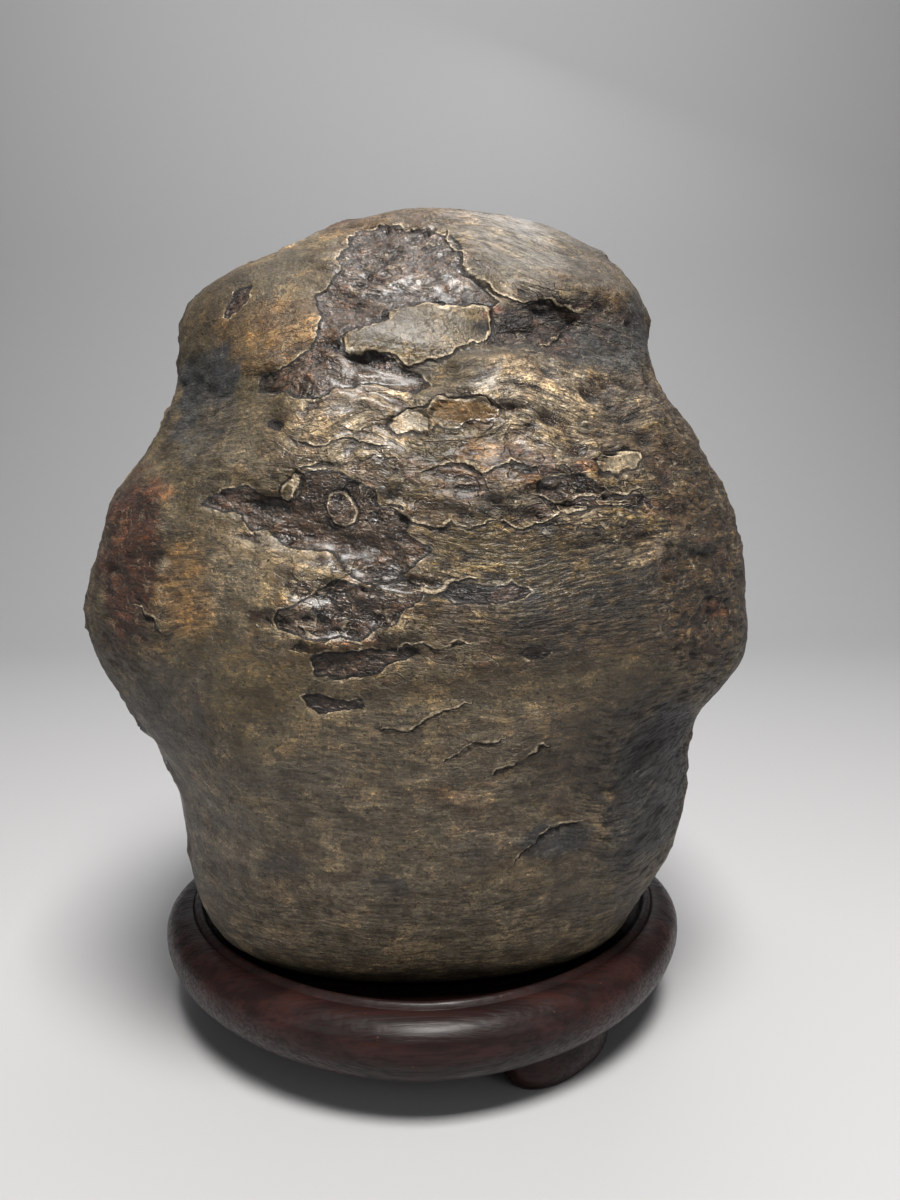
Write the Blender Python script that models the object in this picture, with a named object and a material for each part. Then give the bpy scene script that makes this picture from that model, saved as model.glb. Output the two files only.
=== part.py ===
"""Scholar's rock standing in the seat of a carved wood stand.

Metres, +Z up, origin on the table under the middle of the object's box.
-Y is the show face, +X is to its right. Lengths below are in millimetres
until a mesh is made.
"""
import math

import bpy
import numpy as np
from mathutils import Vector, noise

MM = 0.001

# ---------------------------------------------------------------- driving dimensions
STONE_TOP_Z = 219.0        # crest of the stone above the table
STONE_BASE_Z = 15.8        # flat underside, hidden in the seat
CREST_SHIFT = 6.0          # how far the crest leans to the right
CREST_SHIFT_FROM_Z = 185.0
PLAN_ROUNDNESS = 2.25      # exponent of the stone's plan, 2 is an ellipse

RIM_HALF_WIDTH = 75.2      # outer edge of the stand's rim
RIM_HALF_DEPTH = 75.0
RIM_MIDDLE = (0.9, 7.5)    # the rim's middle, right of and behind the stone's
RIM_ROUNDNESS = 1.86       # exponent of the rim's plan
UNDERSIDE_Z = 9.0          # the stand's underside above the table
SEAT_FLOOR_Z = 15.5
SEAT_CLEARANCE = 1.2       # gap between the scribed seat and the stone

# Profiles of the stone, crest to underside: (distance from the middle, height).
LEFT_PROFILE = (
    (0, STONE_TOP_Z), (10, 218.4), (21, 216), (31, 213), (35, 209), (41, 206.5), (50, 202),
    (56, 199), (60.5, 195), (61.5, 190), (61.5, 181), (61.5, 171), (64, 164), (68, 156),
    (74.5, 148), (78.5, 144), (81, 137), (85.5, 127), (88.6, 117), (88, 111), (85, 101),
    (79, 91), (72, 82.5), (67.5, 73), (65.5, 63), (65.5, 53), (64.5, 43), (61.5, 35),
    (58.5, 28),
    (55, 23.5), (47, 18.5), (34, STONE_BASE_Z), (0, STONE_BASE_Z))
RIGHT_PROFILE = (
    (0, STONE_TOP_Z), (8, 218.8), (17, 218), (24, 216.3), (34, 213.8), (46, 208), (53, 202),
    (59, 195), (61, 189), (61, 181), (61.5, 176), (64.5, 170), (70, 163.5), (75, 156),
    (80.5, 147.5), (84, 139), (86, 129), (87, 118), (89.3, 111), (89, 103), (86, 97.5),
    (79.5, 91.5), (76, 84.5), (74, 76), (74, 67.5), (73.5, 59), (71.5, 51), (67, 43),
    (63, 35), (60, 28), (57, 23.5), (48, 18.5), (34, STONE_BASE_Z), (0, STONE_BASE_Z))
FRONT_PROFILE = (
    (0, STONE_TOP_Z), (12, 217.5), (22, 213.5), (33, 206.5), (46, 196), (57, 183), (66, 168),
    (72, 152), (76, 136), (78, 118), (76.5, 100), (73, 80), (67, 60), (60, 45), (53, 34),
    (46, 27), (41, 23.5), (36, 19), (28, STONE_BASE_Z), (0, STONE_BASE_Z))
BACK_PROFILE = (
    (0, STONE_TOP_Z), (14, 216), (27, 209), (40, 197), (50, 185), (58, 170), (66, 152), (75, 135),
    (79, 118), (77, 102), (70, 84), (64, 66), (62, 52), (59, 38), (54, 28), (50, 23.5),
    (42, 18.5), (30, STONE_BASE_Z), (0, STONE_BASE_Z))

# The show face is drawn on a sheet seen from one eye point: u to the right and v down,
# with the eye's centre at SHEET_CENTRE and the sheet SHEET_DISTANCE units in front of it.
EYE = (0.0, -254.0, 143.0)
EYE_TURN = math.radians(1.8)
EYE_DROP = math.radians(6.3)
SHEET_CENTRE = (450.0, 600.0)
SHEET_DISTANCE = 900.0

# Broad forms of the show face: centre (u, v), half sizes, turn in degrees, height in mm.
FACE_FORMS = {
    "hollow under the cap": ((552, 324), (66, 20), 4, -6.5),
    "lip of the cap": ((580, 284), (60, 16), 12, 2.0),
    "valley left of the hollow": ((430, 372), (70, 15), -28, -2.2),
    "shoulder ridge": ((345, 350), (130, 34), -52, 3.0),
    "upper right swell": ((505, 382), (78, 34), 6, 3.2),
    "crease under the swell": ((478, 436), (92, 14), 8, -2.6),
    "right belly": ((560, 478), (78, 22), 4, 2.6),
    "crease in the belly": ((590, 510), (60, 9), -8, -2.0),
    "belly ledge": ((600, 540), (90, 20), -4, 1.6),
    "left neck hollow": ((203, 402), (32, 56), 8, -3.6),
    "left cheek": ((170, 540), (58, 44), 0, 2.2),
    "left foot hollow": ((196, 800), (30, 60), -6, -1.6),
    "right waist furrow": ((640, 770), (34, 90), 26, -2.4),
    "right waist ridge": ((672, 748), (14, 80), 22, 1.8),
    "scar basin": ((330, 545), (90, 34), 12, -1.4),
    "folded shelf": ((345, 612), (80, 20), -4, 1.4),
    "brow over the scar": ((400, 214), (60, 16), 0, 1.6),
}

# Places where the skin has flaked away: outline on the sheet and depth in mm.
TOP_SCAR = (
    (338, 257), (360, 228), (381, 224), (405, 226), (431, 231), (448, 236), (461, 250),
    (462, 266), (488, 289), (520, 303), (505, 340), (470, 376), (430, 394), (393, 389),
    (370, 382), (353, 386), (333, 386), (328, 395), (293, 398), (290, 391), (260, 393),
    (259, 376), (293, 360), (317, 336), (324, 319), (314, 296), (329, 284), (339, 269))
MIDDLE_SCAR = (
    (200, 506), (223, 490), (246, 486), (270, 499), (298, 498), (304, 478), (340, 474),
    (374, 492), (404, 508), (412, 516), (406, 531), (430, 546), (429, 554), (407, 571),
    (366, 586), (349, 574), (321, 546), (294, 550), (275, 541), (266, 531), (250, 531),
    (238, 511), (215, 513))
FOLD_SCAR = (
    (300, 602), (340, 580), (366, 588), (407, 572), (426, 584), (420, 610), (395, 626),
    (360, 641), (320, 640), (266, 628), (280, 612))
LOWER_SCAR = (
    (308, 660), (345, 645), (425, 650), (405, 666), (366, 684), (366, 713), (310, 708),
    (318, 682))
SHOULDER_SCAR = ((222, 312), (233, 290), (253, 285), (248, 300), (236, 317), (225, 319))
SCARS = ((TOP_SCAR, 1.5), (MIDDLE_SCAR, 1.5), (FOLD_SCAR, 1.2), (LOWER_SCAR, 1.0),
         (SHOULDER_SCAR, 1.2))
SCAR_WALL = 7.0            # width of a scar's sloping edge, sheet units
FULLY_FACING = 0.25        # cosine to the eye's sight above which the sheet's forms are whole

# Plates of skin left standing inside the scars: outline and height in mm.
ISLAND_PLATE = (
    (340, 336), (346, 331), (370, 326), (400, 308), (422, 304), (448, 303), (474, 303),
    (491, 312), (493, 331), (474, 343), (445, 355), (422, 364), (405, 365), (396, 355),
    (358, 352), (343, 350))
KNOT_PLATE = ((325, 500), (341, 489), (357, 500), (357, 518), (341, 528), (325, 518))
PLATES = ((ISLAND_PLATE, 1.8), (KNOT_PLATE, 1.5))

# Broad forms of the sides and back: azimuth in degrees from +X over +Y, height z,
# half sizes in degrees and mm, height in mm.
ROUND_FORMS = {
    "back upper hollow": (75, 172, 30, 20, -5.0),
    "back shoulder": (120, 150, 26, 18, 3.5),
    "back knob": (50, 120, 22, 22, 3.0),
    "back furrow": (95, 112, 11, 46, -3.5),
    "back low swell": (125, 74, 30, 20, 3.0),
    "back right hollow": (30, 70, 18, 18, -3.0),
    "left side pit": (168, 92, 12, 9, -2.0),
    "right side shelf": (12, 150, 20, 8, 2.0),
    "left rear dimple": (150, 186, 16, 10, -3.0),
}
LUMP_SIZES = ((38.0, 1.3), (15.0, 0.7))   # wavelength and height of the irregular lumps
REAR_LUMPS = (60.0, 4.0)                  # broader ones, on the back only
REAR_FADE = 30.0                          # how far behind the middle they reach full height
CALM_BELOW_Z = 24.0                       # no lumps where the stone enters the seat
CALM_ABOVE_Z = 34.0

# The rim's section, underside to bead: (inset from the outer edge, height).
RIM_SECTION = (
    (15.0, 9.0), (9.5, 9.4), (5.2, 11.4), (2.2, 14.2), (0.5, 17.8), (0.0, 20.8), (0.6, 23.8),
    (2.8, 26.2), (5.2, 27.3), (6.8, 27.6), (7.5, 27.2), (8.2, 28.2), (9.0, 28.6),
    (9.8, 28.2), (10.4, 26.8), (12.6, 24.6))
SEAT_LEVELS = (23.0, 19.5, 17.0)          # heights where the seat wall is scribed
LOWEST_SCRIBE_Z = 16.0                    # no lower than this is the stone's edge followed
SEAT_ROW = 30                             # the stone's row, from its underside, at the seat

# Feet: azimuth from the front to the right, half angle, outer radius, inner radius.
FEET = {
    "front right": (42, 17, 60.0, 41.0),
    "right": (105, 16, 72.0, 51.0),
    "rear": (166, 16, 72.0, 52.0),
    "rear left": (-140, 16, 70.0, 50.0),
    "left": (-90, 16, 66.0, 46.0),
}
FOOT_SECTION = ((2.8, 0.0), (0.8, 1.5), (0.0, 4.0), (0.5, 7.0), (2.0, 11.5))
FOOT_ROUNDNESS = (0.7, 0.8)               # exponents of a foot's plan, across and along

STONE_ROWS = 132
STONE_COLUMNS = 224
STONE_TRIANGLES = 6400
RIM_COLUMNS = 60
FOOT_POINTS = 18


# ---------------------------------------------------------------- small helpers
def smooth(x):
    """0 below 0, 1 above 1, eased between."""
    x = np.clip(x, 0.0, 1.0)
    return x * x * (3.0 - 2.0 * x)


def round_corners(points, times=2):
    """Cuts the corners of an open line, keeping its two ends."""
    line = np.array(points, dtype=float)
    for _ in range(times):
        near = 0.75 * line[:-1] + 0.25 * line[1:]
        far = 0.25 * line[:-1] + 0.75 * line[1:]
        middle = np.stack((near, far), axis=1).reshape(-1, 2)
        line = np.vstack((line[:1], middle, line[-1:]))
    return line


def even_steps(line, count):
    """Points at equal distances along a line."""
    steps = np.hypot(*np.diff(line, axis=0).T)
    along = np.concatenate(([0.0], np.cumsum(steps)))
    wanted = np.linspace(0.0, along[-1], count)
    return np.stack([np.interp(wanted, along, line[:, k]) for k in (0, 1)], axis=1)


def grid_normals(points):
    """Outward unit normals of a closed rows x columns grid."""
    down = np.gradient(points, axis=0)
    around = (np.roll(points, -1, axis=1) - np.roll(points, 1, axis=1)) / 2.0
    normals = np.cross(down, around)
    lengths = np.linalg.norm(normals, axis=2, keepdims=True)
    normals = normals / np.maximum(lengths, 1e-9)
    normals[0] = (0.0, 0.0, 1.0)
    normals[-1] = (0.0, 0.0, -1.0)
    return normals


def onto_sheet(points):
    """Where the eye sees each point on its sheet, as u and v."""
    ahead = np.array((math.sin(EYE_TURN) * math.cos(EYE_DROP),
                      math.cos(EYE_TURN) * math.cos(EYE_DROP), -math.sin(EYE_DROP)))
    right = np.array((math.cos(EYE_TURN), -math.sin(EYE_TURN), 0.0))
    up = np.cross(right, ahead)
    seen = points - np.array(EYE)
    depth = seen @ ahead
    u = SHEET_CENTRE[0] + SHEET_DISTANCE * (seen @ right) / depth
    v = SHEET_CENTRE[1] - SHEET_DISTANCE * (seen @ up) / depth
    return u, v


def facing_eye(points, normals):
    """1 where the surface faces the eye, 0 where it turns away."""
    sight = np.array(EYE) - points
    sight = sight / np.linalg.norm(sight, axis=2, keepdims=True)
    return smooth(np.sum(sight * normals, axis=2) / FULLY_FACING)


def inside_distance(u, v, outline):
    """Distance to a closed outline, positive inside it."""
    corners = np.array(outline, dtype=float)
    nearest = np.full(u.shape, 1e9)
    inside = np.zeros(u.shape, dtype=bool)
    for start, end in zip(corners, np.roll(corners, -1, axis=0)):
        run = end - start
        along = ((u - start[0]) * run[0] + (v - start[1]) * run[1]) / (run @ run)
        along = np.clip(along, 0.0, 1.0)
        gap = np.hypot(u - start[0] - along * run[0], v - start[1] - along * run[1])
        nearest = np.minimum(nearest, gap)
        crosses = (start[1] > v) != (end[1] > v)
        slope = run[0] / run[1] if run[1] else 0.0
        inside ^= crosses & (u < start[0] + slope * (v - start[1]))
    return np.where(inside, nearest, -nearest)


def mound(u, v, centre, half_sizes, turn):
    """A smooth mound of height 1 on the sheet, turned clockwise by turn degrees."""
    angle = math.radians(turn)
    du, dv = u - centre[0], v - centre[1]
    along = (du * math.cos(angle) + dv * math.sin(angle)) / half_sizes[0]
    across = (dv * math.cos(angle) - du * math.sin(angle)) / half_sizes[1]
    return np.exp(-(along ** 2 + across ** 2))


# ---------------------------------------------------------------- the stone
def stone_loft():
    """Rows x columns of points, lofted through the four profiles."""
    sides = [even_steps(round_corners(profile), STONE_ROWS)
             for profile in (RIGHT_PROFILE, LEFT_PROFILE, BACK_PROFILE, FRONT_PROFILE)]
    right, left, back, front = sides
    turn = np.linspace(0.0, 2.0 * math.pi, STONE_COLUMNS, endpoint=False)
    cosine, sine = np.cos(turn), np.sin(turn)
    across = np.where(cosine >= 0.0, right[:, :1], left[:, :1])
    across_z = np.where(cosine >= 0.0, right[:, 1:], left[:, 1:])
    along = np.where(sine >= 0.0, back[:, :1], front[:, :1])
    along_z = np.where(sine >= 0.0, back[:, 1:], front[:, 1:])
    power = 2.0 / PLAN_ROUNDNESS
    x = across * np.sign(cosine) * np.abs(cosine) ** power
    y = along * np.sign(sine) * np.abs(sine) ** power
    z = across_z * cosine ** 2 + along_z * sine ** 2
    lean = (z - CREST_SHIFT_FROM_Z) / (STONE_TOP_Z - CREST_SHIFT_FROM_Z)
    return np.stack((x + CREST_SHIFT * smooth(lean), y, z), axis=2)


def lumps(points, wavelength, height):
    """Smooth irregular lumps, the same on every run."""
    flat = [noise.noise(Vector(p) / wavelength) for p in points.reshape(-1, 3)]
    return height * np.array(flat).reshape(points.shape[:2])


def lump_heights(points):
    """Irregular lumps all over, with broader ones towards the back."""
    heights = lumps(points, *REAR_LUMPS) * smooth(points[:, :, 1] / REAR_FADE)
    for wavelength, height in LUMP_SIZES:
        heights += lumps(points, wavelength, height)
    return heights


def round_form_heights(points):
    """Hollows and swells of the sides and the back."""
    azimuth = np.degrees(np.arctan2(points[:, :, 1], points[:, :, 0]))
    heights = np.zeros(azimuth.shape)
    for centre, height_z, half_angle, half_height, relief in ROUND_FORMS.values():
        swing = (azimuth - centre + 180.0) % 360.0 - 180.0
        rise = points[:, :, 2] - height_z
        heights += relief * np.exp(-(swing / half_angle) ** 2 - (rise / half_height) ** 2)
    return heights


def face_heights(points, normals):
    """Relief of the show face: broad forms, flaked scars and standing plates."""
    u, v = onto_sheet(points)
    heights = np.zeros(u.shape)
    for centre, half_sizes, turn, relief in FACE_FORMS.values():
        heights += relief * mound(u, v, centre, half_sizes, turn)
    for outline, depth in SCARS:
        heights -= depth * smooth(inside_distance(u, v, outline) / SCAR_WALL)
    for outline, height in PLATES:
        heights += height * smooth(inside_distance(u, v, outline) / SCAR_WALL + 0.5)
    return heights * facing_eye(points, normals)


def stone_points():
    """The stone's finished surface grid."""
    loft = stone_loft()
    normals = grid_normals(loft)
    calm = smooth((loft[:, :, 2] - CALM_BELOW_Z) / (CALM_ABOVE_Z - CALM_BELOW_Z))
    relief = lump_heights(loft) + round_form_heights(loft) + face_heights(loft, normals)
    relief = (relief * calm)[:, :, np.newaxis]
    return loft + normals * relief


def close_grid(name, grid):
    """A closed mesh from a rows x columns grid whose end rows are single points."""
    rows, columns = grid.shape[:2]
    ring = [tuple(point * MM) for row in grid[1:-1] for point in row]
    points = [tuple(grid[0, 0] * MM)] + ring + [tuple(grid[-1, 0] * MM)]
    last = len(points) - 1
    faces = []
    for column in range(columns):
        following = (column + 1) % columns
        faces.append((0, 1 + column, 1 + following))
        for row in range(rows - 3):
            here = 1 + row * columns
            below = here + columns
            faces.append((here + column, below + column, below + following, here + following))
        bottom = 1 + (rows - 3) * columns
        faces.append((bottom + following, bottom + column, last))
    mesh = bpy.data.meshes.new(name)
    mesh.from_pydata(points, [], faces)
    mesh.validate()
    mesh.shade_smooth()
    item = bpy.data.objects.new(name, mesh)
    bpy.context.scene.collection.objects.link(item)
    return item


def make_stone(grid):
    """The stone as one solid, fine where its relief is."""
    stone = close_grid("scholars_rock", grid)
    full = 2 * (STONE_ROWS - 2) * STONE_COLUMNS
    thinner = stone.modifiers.new("fewer faces", "DECIMATE")
    thinner.decimate_type = "COLLAPSE"
    thinner.ratio = STONE_TRIANGLES / full
    return stone


# ---------------------------------------------------------------- the stand
def rim_radius(azimuth):
    """Outer radius of the rim at an azimuth from +X."""
    across = abs(math.cos(azimuth)) / RIM_HALF_WIDTH
    along = abs(math.sin(azimuth)) / RIM_HALF_DEPTH
    return (across ** RIM_ROUNDNESS + along ** RIM_ROUNDNESS) ** (-1.0 / RIM_ROUNDNESS)


def seat_radius(grid, azimuth, height):
    """The stone's radius at an azimuth and height, with the seat's clearance."""
    lower = grid[grid.shape[0] // 2:]
    spokes = np.arctan2(lower[-SEAT_ROW, :, 1], lower[-SEAT_ROW, :, 0])
    spoke = int(np.argmin(np.abs(np.angle(np.exp(1j * (spokes - azimuth))))))
    column = lower[::-1, spoke]
    radius = np.hypot(column[:, 0], column[:, 1])
    return float(np.interp(height, column[:, 2], radius)) + SEAT_CLEARANCE


def stand_grid(stone):
    """Rows x columns of the stand's body, underside to seat floor."""
    azimuths = [2.0 * math.pi * k / RIM_COLUMNS for k in range(RIM_COLUMNS)]
    rows = [[(0.0, 0.0, SEAT_FLOOR_Z)] * RIM_COLUMNS]
    for level in (SEAT_FLOOR_Z,) + SEAT_LEVELS[::-1]:
        scribed = [seat_radius(stone, azimuth, max(level, LOWEST_SCRIBE_Z))
                   for azimuth in azimuths]
        rows.append([(r * math.cos(a), r * math.sin(a), level)
                     for r, a in zip(scribed, azimuths)])
    for inset, level in RIM_SECTION[::-1]:
        rows.append([(RIM_MIDDLE[0] + (rim_radius(a) - inset) * math.cos(a),
                      RIM_MIDDLE[1] + (rim_radius(a) - inset) * math.sin(a), level)
                     for a in azimuths])
    rows.append([(*RIM_MIDDLE, UNDERSIDE_Z)] * RIM_COLUMNS)
    return np.array(rows)


def foot_outline(middle, half_angle, outer, inner):
    """A plump bean that follows the rim, as (radius, azimuth) points."""
    points = []
    for k in range(FOOT_POINTS):
        turn = 2.0 * math.pi * k / FOOT_POINTS
        lobe = math.copysign(abs(math.cos(turn)) ** FOOT_ROUNDNESS[0], math.cos(turn))
        swing = math.copysign(abs(math.sin(turn)) ** FOOT_ROUNDNESS[1], math.sin(turn))
        radius = (outer + inner) / 2.0 + (outer - inner) / 2.0 * lobe
        azimuth = math.radians(middle - 90.0 + half_angle * swing)
        points.append((radius, azimuth))
    return points


def make_foot(name, middle, half_angle, outer, inner):
    """One carved toe, standing a little way into the body for the union."""
    outline = foot_outline(middle, half_angle, outer, inner)
    centre_radius = (outer + inner) / 2.0
    centre = np.array((centre_radius * math.cos(math.radians(middle - 90.0)),
                       centre_radius * math.sin(math.radians(middle - 90.0))))
    rows = []
    for inset, level in ((None, 0.0),) + FOOT_SECTION + ((None, FOOT_SECTION[-1][1]),):
        row = []
        for radius, azimuth in outline:
            edge = np.array((radius * math.cos(azimuth), radius * math.sin(azimuth)))
            run = edge - centre
            place = centre if inset is None else edge - run / np.linalg.norm(run) * inset
            row.append((place[0], place[1], level))
        rows.append(row)
    return close_grid(name, np.array(rows)[::-1])


def join_foot(body, foot):
    """Unites a foot with the stand's body and hides the helper."""
    union = body.modifiers.new("foot", "BOOLEAN")
    union.operation = "UNION"
    union.solver = "EXACT"
    union.object = foot
    foot.hide_render = True
    foot.display_type = "WIRE"


def make_stand(stone):
    """Bullnose rim, bead, scribed seat and feet, carved from one block."""
    body = close_grid("carved_wood_stand", stand_grid(stone))
    for name, (middle, half_angle, outer, inner) in FEET.items():
        join_foot(body, make_foot("foot_" + name.replace(" ", "_"), middle, half_angle,
                                  outer, inner))
    return body


# ---------------------------------------------------------------- materials and placing
def set_material(item, name, colour, roughness):
    """Gives an object its own plain material."""
    material = bpy.data.materials.new(name)
    material.use_nodes = True
    shader = material.node_tree.nodes["Principled BSDF"]
    shader.inputs["Base Color"].default_value = (*colour, 1.0)
    shader.inputs["Roughness"].default_value = roughness
    shader.inputs["Metallic"].default_value = 0.0
    item.data.materials.append(material)


def centre_on_origin(items):
    """Moves the meshes so that the middle of their common box is over the origin."""
    corners = np.array([vertex.co for item in items for vertex in item.data.vertices])
    middle = (corners.min(axis=0) + corners.max(axis=0)) / 2.0
    for item in items:
        for vertex in item.data.vertices:
            vertex.co.x -= middle[0]
            vertex.co.y -= middle[1]


def clear_scene():
    """Removes whatever the open file holds."""
    for item in list(bpy.data.objects):
        bpy.data.objects.remove(item, do_unlink=True)


def main():
    clear_scene()
    grid = stone_points()
    stone = make_stone(grid)
    stand = make_stand(grid)
    set_material(stone, "waxed_stone", (0.13, 0.10, 0.065), 0.42)
    set_material(stand, "dark_rosewood", (0.035, 0.014, 0.011), 0.3)
    centre_on_origin([stone, stand] + [item for item in bpy.data.objects
                                       if item.name.startswith("foot_")])


main()
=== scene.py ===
"""Looks of a waxed scholar's rock and its carved wood stand.

Metres, +Z up, -Y the show face. The stone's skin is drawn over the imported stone, and the
stand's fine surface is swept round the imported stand's box.
"""
import math
from types import SimpleNamespace

import bpy
import numpy as np
from mathutils import Matrix, Vector, noise
from mathutils.bvhtree import BVHTree


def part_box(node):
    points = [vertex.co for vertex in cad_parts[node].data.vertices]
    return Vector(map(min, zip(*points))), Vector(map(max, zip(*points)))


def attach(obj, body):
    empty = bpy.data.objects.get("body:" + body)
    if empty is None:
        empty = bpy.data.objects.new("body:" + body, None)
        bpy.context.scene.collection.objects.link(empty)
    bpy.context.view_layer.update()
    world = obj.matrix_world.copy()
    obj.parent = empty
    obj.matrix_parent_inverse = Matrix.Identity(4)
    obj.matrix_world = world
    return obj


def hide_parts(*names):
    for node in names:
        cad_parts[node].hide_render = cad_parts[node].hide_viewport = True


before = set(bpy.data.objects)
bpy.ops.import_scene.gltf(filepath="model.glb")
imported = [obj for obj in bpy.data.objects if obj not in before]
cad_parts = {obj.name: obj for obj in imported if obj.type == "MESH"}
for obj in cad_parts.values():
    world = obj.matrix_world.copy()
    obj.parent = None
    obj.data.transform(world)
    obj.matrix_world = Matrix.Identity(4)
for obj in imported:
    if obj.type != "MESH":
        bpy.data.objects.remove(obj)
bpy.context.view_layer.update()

MM = 0.001

# ---- the eye and its sheet
# The show face is drawn on a sheet of 900 x 1200 units seen by the camera: u runs right,
# v runs down, and the sheet is SHEET_DISTANCE units in front of the eye.
EYE = Vector((-0.0003, -0.2565, 0.1430))
EYE_TURN = math.radians(1.8)
EYE_DROP = math.radians(6.3)
SHEET_SIZE = (900.0, 1200.0)
SHEET_DISTANCE = 900.0
LENS_MM = 27.0
SENSOR_MM = 36.0

# ---- drawing of the show face
# Outlines of the places where the skin has flaked away.
TOP_SCAR = (
    (338, 257), (349, 238), (360, 228), (381, 224), (405, 226), (431, 231), (448, 236),
    (461, 250), (462, 266), (470, 276), (488, 289), (503, 300), (496, 306), (474, 303),
    (448, 303), (422, 304), (400, 308), (370, 326), (346, 331), (340, 336), (343, 350),
    (358, 352), (396, 355), (405, 365), (418, 372), (430, 386), (412, 394), (393, 389),
    (370, 382), (353, 386), (333, 386), (328, 395), (315, 396), (293, 398), (290, 391),
    (260, 393), (259, 376), (276, 366), (293, 360), (305, 348), (317, 336), (324, 319),
    (314, 296), (329, 284), (339, 269))
MIDDLE_SCAR = (
    (200, 506), (210, 498), (223, 490), (246, 486), (258, 491), (270, 499), (289, 499),
    (298, 498), (300, 476), (316, 470), (340, 474), (358, 482), (374, 492), (374, 506),
    (389, 504), (404, 508), (412, 516), (406, 531), (430, 546), (429, 554), (407, 571),
    (386, 574), (366, 586), (349, 574), (333, 554), (321, 546), (316, 548), (294, 550),
    (283, 548), (275, 541), (266, 531), (250, 531), (245, 523), (238, 511), (225, 514),
    (215, 513))
FOLD_SCAR = (
    (268, 620), (280, 610), (300, 600), (318, 588), (340, 580), (366, 588), (388, 578),
    (407, 574), (424, 584), (420, 600), (402, 612), (395, 626), (372, 632), (360, 641),
    (340, 636), (320, 641), (296, 634), (276, 630))
STRIP_SCAR = (
    (310, 660), (326, 652), (345, 650), (372, 646), (398, 648), (425, 650), (412, 660),
    (390, 664), (376, 676), (352, 674), (336, 681), (318, 676))
LOWER_SCAR = (
    (300, 694), (316, 690), (330, 694), (346, 700), (364, 702), (362, 711), (340, 708),
    (322, 712), (308, 706))
SHOULDER_SCAR = (
    (223, 316), (226, 304), (233, 293), (244, 287), (253, 286), (250, 298), (240, 310),
    (230, 319))
PIT = ((266, 424), (272, 419), (284, 418), (287, 423), (278, 428), (268, 428))
CREVICE_SCAR = (
    (534, 484), (552, 476), (574, 474), (592, 478), (598, 486), (622, 492), (646, 496),
    (642, 508), (616, 504), (592, 510), (566, 514), (548, 508), (540, 498))
SLATE_FLAKE = (
    (442, 592), (452, 584), (468, 582), (492, 588), (512, 580), (534, 590), (522, 600),
    (498, 602), (474, 600), (454, 602))
BELLY_CHIP = ((520, 657), (528, 648), (540, 646), (552, 650), (546, 656), (530, 660))
SCARS = (TOP_SCAR, MIDDLE_SCAR, FOLD_SCAR, STRIP_SCAR, LOWER_SCAR, SHOULDER_SCAR,
         PIT, CREVICE_SCAR, SLATE_FLAKE, BELLY_CHIP)

# Plates of skin left standing on or in the scars.
ISLAND_PLATE = (
    (340, 336), (346, 331), (370, 326), (400, 308), (422, 304), (448, 303), (474, 303),
    (491, 312), (493, 331), (474, 343), (445, 355), (422, 364), (405, 365), (396, 355),
    (358, 352), (343, 350))
KNOT_RING = (
    (325, 508), (327, 497), (335, 490), (346, 489), (355, 496), (358, 508), (354, 520),
    (344, 527), (333, 524))
OVAL_PLATE = (
    (389, 422), (396, 413), (408, 409), (422, 411), (432, 420), (430, 431), (416, 437),
    (400, 434))
OCHRE_PLATE = (
    (428, 414), (440, 402), (462, 397), (484, 399), (502, 408), (500, 418), (478, 422),
    (456, 429), (436, 425))
FLAP_PLATE = ((283, 497), (287, 480), (296, 471), (301, 478), (300, 494), (293, 500))
RIGHT_PLATE = (
    (594, 462), (606, 455), (624, 450), (640, 452), (638, 466), (626, 474), (604, 474))
PLATES = (ISLAND_PLATE, OVAL_PLATE, OCHRE_PLATE, FLAP_PLATE, RIGHT_PLATE)

# Ledge lines: the skin stands proud above each line, with a shadowed crack along it.
LEDGE_LINES = (
    ((447, 236), (461, 252), (464, 268), (482, 286), (503, 299), (530, 303), (556, 305),
     (580, 312)),
    ((502, 524), (520, 530), (540, 522), (560, 515), (586, 512), (604, 506), (624, 505)),
    ((546, 346), (552, 338), (565, 330)),
    ((390, 512), (408, 520), (424, 524), (450, 522), (468, 530), (490, 524)),
    ((404, 650), (420, 646), (440, 646), (468, 641)),
    ((453, 756), (466, 750), (482, 745), (497, 740)),
    ((495, 773), (512, 766), (524, 756), (542, 748)),
    ((383, 731), (404, 730), (424, 727), (440, 714), (456, 712), (470, 706)),
    ((420, 592), (440, 590), (456, 582), (476, 580)),
    ((520, 857), (538, 836), (552, 828), (580, 821)),
    ((536, 500), (556, 506), (584, 500), (610, 494), (640, 490)),
    ((298, 470), (320, 462), (346, 466), (370, 458), (392, 462)),
    ((300, 440), (324, 446), (350, 440), (380, 448)),
    ((430, 470), (452, 462), (480, 470), (506, 462), (530, 470)),
    ((140, 610), (156, 618), (164, 632)),
)

# Regions where thin layers break into small ledges: centre, half sizes, turn, strength.
BROKEN_REGIONS = (
    ((345, 430), (70, 60), -30, 0.7), ((400, 480), (110, 60), 10, 0.7),
    ((350, 610), (90, 50), -5, 1.0), ((530, 390), (80, 50), 5, 0.4),
    ((590, 490), (110, 50), 0, 1.0), ((480, 450), (110, 50), 5, 0.7),
    ((400, 265), (80, 50), 0, 0.7), ((440, 640), (110, 40), -10, 0.55),
    ((560, 320), (80, 40), 0, 0.6), ((700, 560), (50, 120), 0, 0.6),
    ((650, 420), (60, 70), 20, 0.5), ((500, 780), (90, 50), -20, 0.30),
    ((280, 880), (80, 40), 0, 0.30), ((130, 570), (40, 90), 0, 0.45),
    ((560, 840), (80, 40), -20, 0.35), ((310, 340), (60, 50), 0, 0.4),
)

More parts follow.
